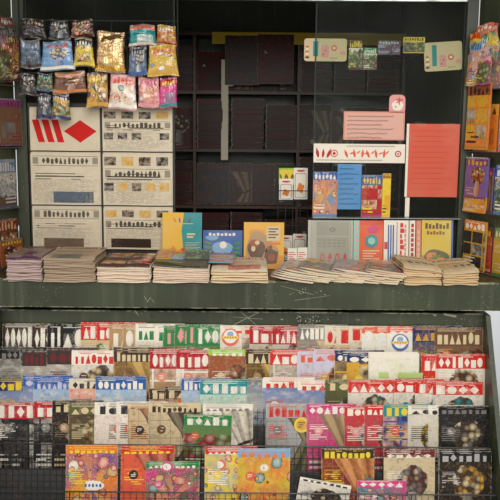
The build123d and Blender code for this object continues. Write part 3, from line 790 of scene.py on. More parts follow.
# %% Covers and page edges
def cover(style, picture, blocks):
    """A printed cover with one of the pictures and about so many blocks in its title."""
    f = Print(f"cover_{style}", Coat_Weight=0.08, Coat_Roughness=0.3, Specular_IOR_Level=0.22)
    u, v, seed = f.u, f.v, f.seed
    colour = picture(f)
    grain = f.noise(13.0, 5.0, f.spread(77.0))
    colour = f.mix(grain.fade(0.52, 0.7) * 0.4, colour, f.mix(0.4, f.spot, "soot"))
    colour = f.mix(grain.fade(0.46, 0.32) * 0.3, colour, f.mix(0.12, f.tint, "white"))
    colour = f.mix((v > 0.985 - f.head) * (f.choice > 0.5), colour, f.band)
    count = (f.chance(seed * 13.0)[2] * 4.0 + (blocks - 1.5)).floor()
    colour = f.mix(f.title(0.965, f.head * 0.82, count), colour, f.ink)
    over = f.text(52.0, 9.0, 0.06, 0.9, 0.968, 0.99)
    small = f.text(34.0, 7.0, 0.06, 0.44, 0.5, 0.72) * (f.chance(seed * 91.0)[0] > 0.3)
    big = f.text(13.0, 5.0, 0.06, 0.62, 0.1, 0.27, seed_times=2.0)
    colour = f.mix(over.most(small).most(big), colour, f.ink)
    sticker = f.disc(0.24, 0.64, 0.09) * (f.chance(seed * 61.0)[1] > 0.5)
    colour = f.mix(sticker, colour, f.mix(f.text(46.0, 12.0, 0.19, 0.3, 0.61, 0.67), f.spot, "white"))
    colour = f.mix(v < 0.055, colour, f.mix(0.5, f.band, f.tint))
    rub = f.noise(120.0, 2.0)
    corner = (u - 0.5).size().most((v - 0.5).size()).fade(0.488, 0.5) * rub.fade(0.4, 0.6)
    colour = f.mix(corner * 0.6, colour, "white")
    return f.finish(colour, rub * 0.12 + 0.38, f.relief(f.noise(14.0, 2.0), 0.0012))


def page_edge(name, lines, shade=None):
    """The rim of a block of leaves: fine uneven lines, in one colour or in the item's own paper."""
    f = Print(name)
    base = tone(shade) if shade else f.paper
    along = f.noise(1.0, 2.0, f.vector(f.u * 40.0, f.v * lines))
    line = f.chance((f.v * lines + along * 0.8).floor(), f.seed * 9.0)[0]
    colour = f.mix(line.fade(0.4, 1.0) * 0.32 + along * 0.12, base, f.mix(0.6, base, "umber"))
    return f.finish(colour, 0.82, f.relief(line, 0.0003))


PICTURES = dict(
    view=view_picture, still=still_picture, cloth=cloth_picture, fruit=fruit_picture, toy=toy_picture,
    panel=panel_picture, plain=plain_picture,
)
TITLE_BLOCKS = dict(view=7.0, still=6.0, cloth=8.0, fruit=6.0, toy=7.0, panel=6.0, plain=5.0)
covers = {style: cover(style, picture, TITLE_BLOCKS[style]) for style, picture in PICTURES.items()}
cover_set = dict(covers, edge=page_edge("leaf_edge", 16.0, "paper"))
STYLES = list(covers)
print("covers:", STYLES)

# %% [markdown]
# The magazines lean back in stepped trays. On the real rack each one overlaps the next like a
# shingle: its left edge lies on top of its neighbour and its right edge is tucked under the one
# after it. Laid flat in a row they would cut through each other, so each is turned by a fixed step
# in depth, and its thickness follows from the distance to the next one. A row of the table below says
# how tall the title is, where the left edges of magazines with that cover lie, in millimetres, and
# the style and the five inks of the cover.

# %% Which magazines lie in each tier
MAGAZINES = {
    1: """
        0.70 -1028 panel soot umber white maroon red
        0.70 -904 panel umber umber white maroon red
        0.70 -835 -780 panel black black white soot grey
        0.40 -690 -626 fruit cream red white yellow gold
        0.62 -570 -512 fruit cream tan white cream red
        0.40 -456 fruit white white green leaf yellow
        0.40 -373 fruit white white green coral red
        0.50 -337 -289 -241 fruit green green pink coral white
        0.50 -204 fruit green green white coral white
        0.12 -91 plain white white coral blue yellow
        0.20 0 panel paper paper red green red
        0.42 30 130 still paper crimson white slate pink
        0.36 236 cloth grey grey white cream pink
        0.44 351 405 fruit cream paper red yellow red
        0.36 460 fruit paper paper red tan red
        0.10 515 566 621 plain white coral white sky yellow
        0.36 730 fruit navy navy gold cream gold
        0.44 824 fruit brown brown cream maroon orange
    """,
    2: """
        0.24 -1030 view black black grey soot brown
        0.38 -935 -827 view soot soot maroon grey coral
        0.34 -725 still white white red grey brown
        0.30 -545 cloth brown umber cream gold cream
        0.46 -390 -280 panel white crimson white tan salmon
        0.10 -141 still rust lime white rust cream
        0.32 17 cloth umber umber cream gold tan
        0.34 121 panel paper red white paper maroon
        0.24 235 302 still lilac lilac coral lilac gold
        0.20 394 445 panel gold navy white brown yellow
        0.08 540 plain white white white lime white
        0.46 762 plain red red white crimson yellow
        0.36 824 still white red white tan brown
    """,
    3: """
        0.30 -1030 view navy navy yellow blue sky
        0.20 -921 view blue blue lilac blue sky
        0.24 -874 view blue blue lilac sky navy
        0.24 -726 view paper paper soot salmon brown
        0.28 -613 view blue blue white sky grey
        0.30 -390 panel orange umber cream orange soot
        0.30 -322 panel orange umber cream soot orange
        0.28 -253 view blue blue white sky tan
        0.34 -175 view teal teal white mint magenta
        0.12 22 view grey grey silver slate silver
        0.20 89 235 view white white red blue white
        0.24 349 still olive olive cream soot olive
        0.30 450 641 732 806 still white red white brown teal
    """,
    4: """
        0.42 -1025 -868 panel black crimson white soot grey
        0.26 -792 still black black cream umber tan
        0.26 -718 still black olive cream tan leaf
        0.28 -614 -565 -519 plain white white soot crimson coral
        0.06 -472 cloth cream cream rust rust umber
        0.20 -386 cloth cream cream umber soot brown
        0.10 -160 cloth white white grey white soot
        0.34 102 cloth silver silver red olive grey
        0.24 273 cloth magenta magenta white tan pink
        0.24 431 512 still red red white slate pink
        0.28 593 panel blue teal yellow navy coral
        0.18 696 784 still white white soot black yellow
        0.18 824 still black black grey soot grey
    """,
    5: """
        0.12 -711 toy violet orange yellow violet orange
        0.10 -488 cloth coral red yellow red umber
        0.12 -388 toy magenta green white green magenta
        0.10 -146 toy sky red white sky yellow
        0.18 -12 toy yellow sky orange yellow coral
        0.22 330 cloth maroon umber yellow orange maroon
        0.14 582 still cream maroon white grey maroon
        0.26 804 still black black silver umber gold
    """,
}
TIER_TOPS = {1: 0.820, 2: 0.722, 3: 0.612, 4: 0.520, 5: 0.372}
SHORT_ONES = {(5, -388): 0.80, (3, -390): 0.86, (3, -322): 0.86, (2, 540): 0.985}
IN_FRONT = {
    4: ((-244, 0.199, 0.250, 1.5, "fruit", "green green white crimson coral", 0.17),),
    5: (
        (213, 0.212, 0.158, 10.5, "still", "white white soot umber soot", 0.07),
        (470, 0.200, 0.178, 1.0, "toy", "magenta magenta white teal magenta", 0.14),
    ),
}
print("rows in the tiers:", [len(rows.strip().splitlines()) for rows in MAGAZINES.values()])

# %% Places in the trays
lean = radians(8)
shingle_step = 0.0095
magazine_width = 0.212
tray_clearance = 0.0006


def table(text):
    """Reads rows of numbers, a picture's style and five inks."""
    for row in text.strip().splitlines():
        *numbers, style, paper, band, ink, tint, spot = row.split()
        yield [float(number) for number in numbers], style, (paper, band, ink, tint, spot)


def tier_place(tier):
    """Where a tier's tray back meets its ledge, leaning back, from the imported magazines' box."""
    low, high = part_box(f"magazines_tier_{tier}")
    tall = (high.z - low.z) / cos(lean)
    return shift((0, high.y - tall * sin(lean), low.z)) @ Matrix.Rotation(-lean, 4, "X")


def tray_bend(turn, lift, curl):
    """A shingled magazine: left edge forward by the step, with a slack curve and a curled top."""
    def bend(u, v):
        forward = -shingle_step * (1 - u) - lift
        bow = -0.0015 * sin(pi * v) - curl * v**6
        return (turn * v, forward + bow, 0)
    return bend


# %% The five tiers of magazines
for tier, text in MAGAZINES.items():
    tier_stock = Stock(f"magazines_row_{tier}", **cover_set)
    place = tier_place(tier)
    full_height = (TIER_TOPS[tier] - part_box(f"magazines_tier_{tier}")[0].z) / cos(lean)
    row = [(left, title, *rest) for (title, *lefts), *rest in table(text) for left in lefts]
    next_lefts = [item[0] for item in row[1:]] + [row[-1][0] + 140]
    for (left, title, style, inks), next_left in zip(row, next_lefts):
        room = min(1.0, max(0.12, (next_left - left) / 1000 / magazine_width))
        thick = min(0.0045, shingle_step * room * 0.8)
        width = magazine_width + draw.uniform(-0.004, 0.006)
        height = full_height * SHORT_ONES.get((tier, left), 1.0) + draw.uniform(-0.006, 0.006)
        a_look = look(inks, title * 0.5)
        for copy in range(2):
            lift = 0.0006 + thick * copy * 0.5
            rise = 0.0 if copy else draw.uniform(0.002, 0.011)
            slip = 0.0 if copy else draw.uniform(-0.003, 0.003)
            tier_stock.leaf(
                place @ shift((left / 1000 + slip, 0, tray_clearance)),
                (width, height + rise, thick * 0.46), a_look, style,
                bend=tray_bend(draw.uniform(-0.003, 0.003), lift, draw.uniform(0, 0.002)),
            )
    for left, width, height, turn, style, inks, title in IN_FRONT.get(tier, ()):
        spot = (left / 1000, -0.016, tray_clearance + width * sin(radians(turn)))
        slipped, slack = place @ shift(spot) @ turned(turn), tray_bend(0.0, 0.0, 0.001)
        tier_stock.leaf(slipped, (width, height, 0.004), look(inks, title), style, bend=slack)
    tier_stock.finish("magazine_paper", f"magazines_tier_{tier}")

# %% [markdown]
# The six newspapers on the board in front of the left pane are folded once, so each is a small stack
# of soft sheets with a rounded top fold. A front page is the opposite of a magazine: pale grey-brown
# paper, a masthead between thin rules, a headline, grey columns and one or two dull pictures. The top
# left one carries a few huge red shapes. All text is bars and blocks.


# %% Newsprint
def small_pictures(f, colour, low, high, count, seed_times=1.0):
    """A row of small pictures in dull tones, with gaps between them."""
    seed = f.seed * seed_times
    across = f.u * count + 0.08
    cell, part = across.floor(), across.part()
    first, second, third = f.chance(cell, seed * 31.0)
    shot = f.noise(16.0, 3.0, f.vector(f.u, f.v, seed * 9.0 + cell)).fade(0.36, 0.64)
    dark = f.mix(first > 0.5, "soot", f.mix(second > 0.5, "umber", "gold"))
    picture = f.mix(shot, dark, f.mix(0.5, f.paper, dark))
    return f.mix(part.within(0.16, 0.84) * f.v.within(low, high) * (third > 0.12), colour, picture)


def front_page():
    """A newspaper's front page, greeked. Its choice: 0 masthead on top, 0.5 pictures on top, 1 poster."""
    f = Print("front_page", Specular_IOR_Level=0.2)
    u, v, seed, head = f.u, f.v, f.seed, f.head
    tooth = f.noise(9.0, 3.0, f.vector(u, v, seed * 30.0))
    ground = f.mix(tooth.fade(0.3, 0.8) * 0.35, f.paper, f.mix(0.75, f.paper, "tan"))
    first, _, third = f.chance(seed * 71.0)
    lifted = f.choice.within(0.3, 0.7)
    top = 0.93 - lifted * 0.24
    mast = f.title(top, head, 11.0, 0.16, 0.84)
    ears = u.within(0.03, 0.11).most(u.within(0.89, 0.97)) * v.within(top - head, top)
    rules = v.within(top - head - 0.035, top - head - 0.027).most(v.within(top + 0.02, top + 0.027))
    rules = rules * u.within(0.03, 0.97)
    lead = f.text(17.0, 7.0, 0.06, 0.9, 0.5, 0.62)
    columns = f.text(50.0, 46.0, 0.03, 0.97, 0.03, 0.5) * ((u * 6.0 + 0.12).part() > 0.07)
    lines = ((u * 6.0 + 0.1).part() < 0.02) * v.within(0.05, 0.5)
    colour = f.mix((columns * 0.4).most(lines * 0.5), ground, f.ink)
    colour = f.mix(lead.most(mast) * 0.88, colour, f.ink)
    colour = f.mix(rules.most(ears * 0.55), colour, f.ink)
    colour = f.mix(lifted, colour, small_pictures(f, colour, 0.78, 0.95, 4.0))
    middle = small_pictures(f, colour, 0.28, 0.44, 5.0, seed_times=2.0)
    box_left = first * 0.25 + 0.1
    box = u.within(box_left, box_left + 0.58) * v.within(0.04, 0.26)
    shot = f.noise(7.0, 4.0, f.vector(u, v, seed * 9.0)).fade(0.3, 0.7)
    boxed = f.mix(box, colour, f.mix(shot, f.mix(0.6, f.tint, "soot"), f.tint))
    colour = f.mix(third > 0.5, boxed, middle)
    slant = u + v * 0.16
    bars = v.within(0.2, 0.74) * slant.within(0.15, 0.564) * ((slant - 0.15) * 7.2).part().within(0.0, 0.68)
    lozenge = (u - 0.72).size() * 1.15 + (v - 0.47).size() < 0.27
    sheet, red = f.mix(tooth * 0.3, f.paper, "tan"), f.mix(tooth * 0.4, f.spot, "crimson")
    poster = f.mix(bars.most(lozenge), sheet, red)
    colour = f.mix(f.choice > 0.7, colour, poster)
    return f.finish(colour, 0.86, f.relief(tooth + f.noise(3.0, 3.0) * 2.0, 0.0008))


# %% The six newspapers on the board
newsprint = front_page()
newsprint_edge = page_edge("newsprint_edge", 9.0)
board_low, board_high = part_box("newspapers")
page_gap = 0.008
page_width = (board_high.x - board_low.x - page_gap) / 2
page_rows = (0.203, 0.245, 0.200)
FRONT_PAGES = (
    (("paper soot soot brown red", 0.16), ("paper soot black umber red", 0.15)),
    (("paper soot black slate gold", 0.13), ("paper soot black maroon red", 0.14)),
    (("paper soot soot brown red", 0.10), ("paper soot black tan red", 0.13)),
)
papers = Stock("front_pages", news=newsprint, edge=newsprint_edge)


def fold(u, v):
    """Thin at the top, where a folded paper turns over."""
    return max(0.05, min(1.0, (1 - v) * 18)) ** 0.5


row_z = board_low.z
for row, row_height in enumerate(page_rows):
    for column, (inks, head) in enumerate(FRONT_PAGES[row]):
        poster = (row, column) == (2, 0)
        a_look = look(inks, head, choice=1.0 if poster else 0.5 * column)
        for copy in range(3):
            back_y = board_high.y - 0.0026 * copy - 0.0002
            left = board_low.x + column * (page_width + page_gap) + draw.uniform(0.0005, 0.003)
            slack = draw.uniform(0.0005, 0.0016)
            size = (page_width - 0.004, row_height - 0.006 - 0.004 * copy, 0.0025)
            papers.leaf(
                shift((left, back_y, row_z + 0.0006)), size, a_look, "news", cells=(8, 12),
                bend=lambda u, v: (0, -slack * sin(pi * u) * sin(pi * v), 0.0006 * sin(7 * u)),
                full=fold,
            )
    row_z += row_height
papers.finish("newsprint", "newspapers")

# %% [markdown]
# Clear film is what makes the stock glint: it wraps some piles and comics, and the hanging bags are
# made of it or of printed film. Film has hard creases that run from its seals, so its relief is made
# from stretched noise. Where it is clear, light passes through a see-through shader, and where it is
# printed it is a glossy skin over ink.


# %% Film finishes
def creases(f, size=1.0):
    """Sharp folds that run mostly upright, with smaller ones across."""
    x, y, z = f.place()
    long = f.noise(1.0, 3.0, f.vector(x * 62.0 * size, y * 20.0, z * 17.0 * size))
    cross = f.noise(1.0, 2.0, f.vector(x * 30.0 * size + z * 44.0, y * 20.0, z * 60.0 * size - x * 30.0))
    return (long - 0.5).size() * 1.4 + (cross - 0.5).size() * 0.9


def film_print(style, picture, gloss=0.16, metal=0.0):
    """Printed film on a bag: a picture between two sealed ends, with creases, and glints painted white along
    them.
    """
    f = Print(f"film_{style}", Coat_Weight=0.7, Coat_Roughness=0.08, Metallic=metal)
    u, v = f.u, f.v
    colour = f.mix(v.within(0.93 - f.head, 0.93) * (f.choice > 0.5), picture(f), f.band)
    colour = f.mix(f.title(0.9, f.head * 0.8, 5.0, 0.12, 0.88), colour, f.ink)
    colour = f.mix(v.within(0.05, 0.15), colour, f.spot)
    seal = (v < 0.05).most(v > 0.945)
    teeth = (u * 220.0).wave().fade(-0.3, 0.3)
    colour = f.mix(seal * 0.8, colour, f.mix(teeth * 0.4, f.band, "silver"))
    fold = creases(f)
    # The film turns toward white along its creases: painted highlights for glints.
    colour = f.mix((fold - 0.28).step("MULTIPLY", 0.9, clamp=True), colour, "white")
    return f.finish(colour, fold * 0.25 + gloss, f.relief(fold * 1.2 + seal * teeth * 0.3, 0.004))


def clear_film():
    """Clear film: see-through, with glints painted as more white film on its creases and at grazing angles.
    """
    f = Finish("clear_wrap", Specular_IOR_Level=0.6)
    fold = creases(f, 0.7)
    f.finish("white", 0.12, f.relief(fold, 0.006))
    # More of the white film shows at grazing angles and on creases: painted sheen and glints.
    glint = f.node("LayerWeight", 0.35, output="Facing") * 0.12
    return f.see_through(glint + fold.fade(0.4, 0.7) * 0.3 + 0.03)


def flat_ink(name, gloss=0.45, mottled=0.12):
    """One printed colour, for shapes laid on a cover or a card."""
    f = Print(name)
    mottle = f.noise(6.0, 5.0)
    colour = f.mix(mottle.fade(0.4, 0.7) * mottled, f.paper, "white")
    return f.finish(colour, mottle * 0.15 + gloss, f.relief(f.noise(30.0, 1.0), 0.0006))


wrap = clear_film()
shape_ink = flat_ink("shape_ink")
film_set = {style: film_print(style, PICTURES[style]) for style in ("toy", "fruit", "plain", "still")}
film_set["foil"] = film_print("foil", plain_picture, gloss=0.2, metal=0.85)
print("films:", len(film_set) + 1)

# %% [markdown]
# The bags hang in rows on the wire rack. A filled bag is two sheets sealed at both ends, thick in the
# middle, narrower at its hung end than at its foot, with folds that run from the seals. Cloth
# simulation would swell it, but a pillow's thickness has a simple formula, so each one is shaped by
# that and by noise, and no two are alike. A row says where a bag's left and right side, foot and top
# are in millimetres, and 1 for a bag that hangs in front of its neighbours, then its style and inks.

# %% Hanging bags
bag_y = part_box("hanging_bags")[1].y
BAGS = """
    -973 -864 2042 2124 0 plain soot umber tan umber soot
    -850 -762 2036 2122 0 still soot soot silver slate umber
    -752 -655 2050 2124 0 toy umber soot cream soot maroon
    -502 -386 2014 2104 0 plain teal salmon coral teal white
    -382 -297 2018 2102 0 toy red yellow white yellow crimson
    -973 -884 1915 2036 1 plain slate grey sky slate umber
    -880 -742 1906 2030 1 still sky slate coral blue white
    -740 -655 1922 2046 1 toy black black white olive yellow
    -641 -515 1900 2072 1 foil tan tan gold cream gold
    -502 -423 1888 2012 1 still slate soot silver slate blue
    -420 -293 1886 2018 1 toy yellow yellow coral yellow gold
    -985 -912 1800 1892 0 still soot umber silver soot umber
    -908 -836 1818 1896 0 fruit soot navy mint umber slate
    -833 -692 1812 1904 0 still brown tan salmon rust orange
    -690 -596 1746 1900 0 toy brown brown yellow umber gold
    -590 -472 1742 1894 0 toy white pink coral pink white
    -467 -373 1752 1884 0 toy pink pink magenta magenta pink
    -371 -293 1750 1882 0 plain magenta crimson yellow magenta teal
    -912 -845 1698 1806 0 still soot navy silver slate navy
    -842 -766 1696 1808 0 fruit gold navy cream gold navy
"""
bag_thickness = 0.024
bag_step = 0.016


def swell(u, v, seed):
    """A number near zero that drifts over a sheet, for folds and rucks."""
    return noise.noise(Vector((u, v, seed)))


def bag_shape(seed, width, height):
    """How one bag's sheets bend, and how full it is from place to place."""
    flare = draw.uniform(0.05, 0.14)
    tilt = draw.uniform(-0.04, 0.04)

    def bend(u, v):
        spread = (u - 0.5) * (0.5 - v) * flare * width * 2
        edge = 1 - min(1.0, 4 * v * (1 - v))
        ripple = swell(u * 7, seed, v * 2) * 0.007 * (0.4 + edge)
        fold = swell(u * 3 + v * 4, seed * 2, v * 6 - u * 2) * 0.006
        pull = -0.02 * width * sin(pi * v) * (1 if u > 0.5 else -1) * (abs(u - 0.5) * 2) ** 3
        return (spread + pull + tilt * (v - 1) * height, ripple + fold, 0.004 * sin(u * 5 + seed))

    def full(u, v):
        across = max(0.0, 1 - abs(2 * u - 1) ** 2.6) ** 0.6
        up = max(0.0, 1 - abs(2 * min(1, max(0, (v - 0.07) / 0.86)) - 1) ** 2.2) ** 0.7
        return 0.04 + 0.96 * across * up

    return bend, full


bags = Stock("bags", **film_set)
for i, ((left, right, low, top, step), style, inks) in enumerate(table(BAGS)):
    width, height = (right - left) / 1000, (top - low) / 1000
    bend, full = bag_shape(i * 1.7, width, height)
    head = 0.0 if style == "foil" else draw.uniform(0.16, 0.26)
    place = shift((left / 1000, bag_y - step * bag_step, low / 1000))
    size = (width, height, bag_thickness)
    bags.leaf(place, size, look(inks, head, float(i % 2)), style, style, (16, 20), bend, full)
bags.finish("plastic_film", "hanging_bags", sharp=75)

# %% [markdown]
# Piles of folded newspapers and weeklies stand along the counter's front edge. A pile is never a
# block: each copy is turned and pushed a little, its fold is round at the front, and it is thicker at
# the fold than at its cut edges. So each pile is laid copy by copy, with the widths and heights of
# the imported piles, and the top copy shows its front page or a cover. The first pile has film over it.


# %% Piles on the counter
def flat_place(left, front, low, turn=0.0, tilt=0.0):
    """A place for a sheet that lies on its back with its foot towards the front."""
    place = shift((left, front, low)) @ Matrix.Rotation(turn, 4, "Z")
    return place @ Matrix.Rotation(tilt, 4, "Y") @ Matrix.Rotation(-pi / 2, 4, "X")


pile_low, pile_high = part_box("counter_piles")
pile_front, counter_z = pile_low.y, pile_low.z
pile_depth = pile_high.y - pile_front - 0.016
film_thickness, overlap = 0.0004, 1.16
# Left, right and height in millimetres, copies, lean of the top ones, top cover, side's colour, inks.
PILES = (
    (-986, -836, 100, 12, 0.0, "plain", "ash", "mauve plum maroon umber plum"),
    (-831, -615, 99, 13, 0.0, "news", "drab", "oat umber umber grey brown"),
    (-610, -382, 72, 9, 0.0, "panel", "buff", "soot umber gold brown coral"),
    (-377, -137, 76, 9, 0.012, "view", "shell", "soot umber lime olive brown"),
    (-132, 108, 58, 5, 0.0, "news", "vellum", "ivory cream red salmon crimson"),
    (671, 831, 70, 8, 0.02, "news", "corn", "wheat tan soot salmon grey"),
    (836, 986, 58, 6, -0.015, "news", "sand", "straw paper soot tan coral"),
)
piles = Stock("piles", **cover_set, news=newsprint, fold=newsprint_edge, skin=wrap)


def round_fold(u, v):
    """Full thickness behind the fold, thinner at the cut edges."""
    front = min(1.0, v * 16 + 0.02) ** 0.5
    sides = min(1.0, min(u, 1 - u) * 14 + 0.35)
    return max(0.04, front * (1 - 0.35 * v) * sides)


for left, right, height, copies, lean_over, top, side_shade, inks in PILES:
    copy_height = height / copies / 1000
    for copy in range(copies):
        last = copy == copies - 1
        loose_ones = copy >= copies - 3
        inset = draw.uniform(0.0005, 0.006)
        slip = draw.uniform(0.0, 0.012)
        wave = draw.uniform(0, 6)
        tip = lean_over * (copy - copies + 4) / 3 if loose_ones else 0.0

        def sag(u, v):
            drop = 0.0012 * (sin(5 * u + wave) + sin(9 * u + wave * 2)) * (1 - v)
            hang = 0.010 * max(0.0, 0.09 - v) / 0.09
            return (0, hang - drop - tip * (0.5 - u), 0.0015 * sin(6 * u + wave))

        size = ((right - left) / 1000 - 2 * inset, pile_depth, copy_height * overlap)
        start = (left / 1000 + inset + draw.uniform(-0.002, 0.002), pile_front + slip)
        turn = draw.uniform(-0.012, 0.012) * (3 if loose_ones and lean_over else 1)
        piles.leaf(
            flat_place(*start, counter_z + 0.0004 + copy * copy_height, turn), size,
            look(inks, 0.14, 0.0) if last else look([side_shade, *inks.split()[1:]], 0.12, 0.0),
            top if last else "news", "fold", (8, 12), sag, round_fold,
        )

# %% What lies on the piles, and the film over two of them
# Left, width, front, depth and height in millimetres, then style and inks.
ON_TOP = """
    -366 66 -786 190 86 toy gold orange yellow coral orange
    -298 46 -792 70 88 plain sky sky white slate white
    -246 106 -798 200 84 still soot green lime olive umber
    -150 108 -772 190 70 toy sky blue coral white pink
    -425 34 -800 150 76 panel red yellow white crimson yellow
"""
for numbers, style, inks in table(ON_TOP):
    left, width, front, depth, height = [value / 1000 for value in numbers]
    place = flat_place(left, front, counter_z + height, draw.uniform(-0.08, 0.08)) @ turned(3, "X")
    piles.leaf(place, (width, depth, 0.006), look(inks), style, "fold", (4, 5))
    ruck = draw.uniform(0, 50)
    piles.leaf(
        place @ shift((-0.006, -0.0062, -0.008)),
        (width + 0.012, depth + 0.014, film_thickness), plain("white"), "skin", "skin", (7, 10),
        lambda u, v: (0, -0.004 * (sin(pi * u) * sin(pi * v) + abs(swell(u * 5, v * 7, ruck))), 0),
    )


def rumple(u, v):
    """Film pulled over a pile, hanging down a little at its front."""
    hang = 0.3 * max(0.0, 0.1 - v)
    return (0, hang - abs(swell(u * 6, v * 9, 3.0) * 0.006), 0.03 * max(0.0, 0.08 - v))


for left, right, height in ((-984, -838, 101), (-368, -150, 83)):
    place = flat_place(left / 1000, pile_front + 0.004, counter_z + height / 1000)
    size = ((right - left) / 1000, 0.22, film_thickness)
    piles.leaf(place, size, plain("white"), "skin", "skin", (12, 14), rumple)
piles.finish("newsprint", "counter_piles", sharp=50)

# %% [markdown]
# Between the piles, comics in clear bags have slumped like a pushed pack of cards: each leans on its
# left neighbour, and each is turned a little, so their front edges make a zig-zag line. A drop
# simulation would find such a heap, but it would be another heap at each run, while a fan with small
# fixed turns is the same every time.

# %% Slumped comics in film
fan_low, fan_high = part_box("loose_magazines")
comic_width, comic_height = 0.178, 0.262
COMIC_INKS = (
    "pink violet yellow magenta coral",
    "cream red white teal yellow",
    "white pink magenta cream sky",
    "lime mint white orange yellow",
    "yellow orange red cream white",
    "white sky blue silver pink",
    "salmon coral white gold cream",
    "cream teal white lilac pink",
)
comic_edge = page_edge("comic_edge", 9.0, (240, 218, 178))
comics = Stock("comics", **covers, edge=comic_edge, skin=wrap)
fan_groups = 6
copy_step, copy_back, copy_rise = 0.011, 0.0035, 0.0068
group_pitch = (fan_high.x - fan_low.x - comic_width - 0.02) / (fan_groups - 1)
for group in range(fan_groups):
    group_turn = radians(-9 + draw.uniform(-2.5, 2.5))
    group_tilt = radians(draw.uniform(5, 8))
    for copy in range(6 if group % 2 else 5):
        left = fan_low.x + 0.004 + group_pitch * group + copy_step * copy
        thick = draw.uniform(0.0060, 0.0068)
        turn = group_turn + draw.uniform(-0.03, 0.03)
        front = fan_low.y + 0.018 + draw.uniform(0.0, 0.010) + copy_back * copy
        rise = comic_width * sin(group_tilt) + copy * copy_rise + 0.001
        place = flat_place(left, front, counter_z + rise, turn, group_tilt)
        curl = draw.uniform(0.002, 0.007)

        def slump(u, v):
            return curl * (1 - v) ** 2 * (0.3 + sin(pi * u))

        def crumple(u, v):
            fold, ridge = swell(u * 7, v * 9, ruck) * 0.005, swell(u * 16 + v * 5, v * 7, ruck) * 0.003
            return (0, slump(u, v) - abs(fold) - abs(ridge), 0)

        size = (comic_width + draw.uniform(-0.01, 0.006), comic_height, thick)
        inks = COMIC_INKS[(group * 3 + copy * 5) % len(COMIC_INKS)]
        a_look = look(inks, draw.uniform(0.14, 0.22), float(copy % 3 == 0))
        style = ("toy", "panel", "fruit", "toy")[(group + copy) % 4]
        comics.leaf(
            place, size, a_look, style, "edge", (4, 8), lambda u, v: (0, slump(u, v), 0),
            lambda u, v: max(0.2, min(1.0, u * 12 + 0.3)),
        )
        ruck = draw.uniform(0, 50)
        place = place @ shift((-0.005, -thick - 0.0002, 0.003))
        size = (comic_width + 0.012, comic_height + 0.001, film_thickness)
        comics.leaf(place, size, plain("white"), "skin", "skin", (9, 12), crumple)
comics.finish("magazine_paper", "loose_magazines", sharp=50)

# %% [markdown]
# Books and a calendar stand on the counter against the panes, leaning back. Their covers are simple
# pictures in flat colours, so each is built as a printer's collage: a block of pages in the cover's
# colour, and on it thin shapes cut from coloured paper. The same shapes make the notices, labels and
# cards that are taped to the right pane. Outlines come from a few small functions, in millimetres.


# %% Shapes for collages
def oval(x, z, wide, tall, count=20, wobble=0.0, turns=3, start=0.0):
    """Points round an oval whose rim may wave."""
    angles = [2 * pi * i / count + start for i in range(count)]
    reach = [1 + wobble * sin(turns * angle) for angle in angles]
    return [(x + wide / 2 * r * cos(a), z + tall / 2 * r * sin(a)) for a, r in zip(angles, reach)]


def box_of(left, low, right, top):
    """Corners of a box."""
    return [(left, low), (right, low), (right, top), (left, top)]


def lines_of(left, low, right, tall, step, count, ragged=0, every=3):
    """Boxes one above another, or below it for a step under 0, as text is set. Some are shorter."""
    ends = [(low + step * k, right - ragged * (k % every)) for k in range(count)]
    return [box_of(left, z, end, z + tall) for z, end in ends]


def card_of(left, low, right, top, corner):
    """Points round a box with round corners."""
    points = []
    for x, z, first in ((right, low, -90), (right, top, 0), (left, top, 90), (left, low, 180)):
        inner_x = x - corner if x == right else x + corner
        inner_z = z - corner if z == top else z + corner
        for angle in [radians(first + 22.5 * step) for step in range(5)]:
            points.append((inner_x + corner * cos(angle), inner_z + corner * sin(angle)))
    return points


def leaf_of(x, z, length, degrees):
    """A pointed leaf that grows from a point."""
    across, up = length * cos(radians(degrees)), length * sin(radians(degrees))
    spots = ((0, 0), (0.25, 0.14), (0.55, 0.16), (1, 0), (0.55, -0.13), (0.25, -0.11))
    return [(x + side * across - along * up, z + side * up + along * across) for along, side in spots]


def stroke(x, z, length, height, waves, width, seed):
    """A wavy pen stroke, as written rows look from far off."""
    steps = [i / (waves * 6) for i in range(waves * 6 + 1)]
    middle = [(x + length * at, z + height * swell(at * waves * 1.7, seed, 0) * 1.4) for at in steps]
    lower, upper = [[(px, pz + side * width / 2) for px, pz in middle] for side in (-1, 1)]
    return lower + upper[::-1]


card_ink = flat_ink("card_ink", gloss=0.62, mottled=0.06)
LIFT = 0.0004


class Collage:
    """Shapes cut from coloured paper, laid one on another on the front of a book, card or pane."""

    def __init__(self, stock, place):
        self.stock = stock
        self.place = place
        self.level = 0

    def lay(self, shade, *outlines):
        """Adds shapes of one colour on top of what is there, in millimetres from the lower left."""
        self.level += 1
        here = self.place @ shift((0, -LIFT * self.level, 0))
        for outline in outlines:
            self.stock.patch(here, outline, LIFT * 0.8, shade)


print("a leaf has", len(leaf_of(0, 0, 1, 0)), "points")

# %% Stickers and labels on the rack's magazines
labels = Stock("labels", card=shape_ink)


def label(tier, x, z, forward=0.0125):
    """A collage on a tier's magazines, with its origin at a place in millimetres."""
    place = tier_place(tier)
    up = (z / 1000 - (place @ Vector((0, -forward, 0))).z) / cos(lean)
    return Collage(labels, place @ shift((x / 1000, -forward, up)))


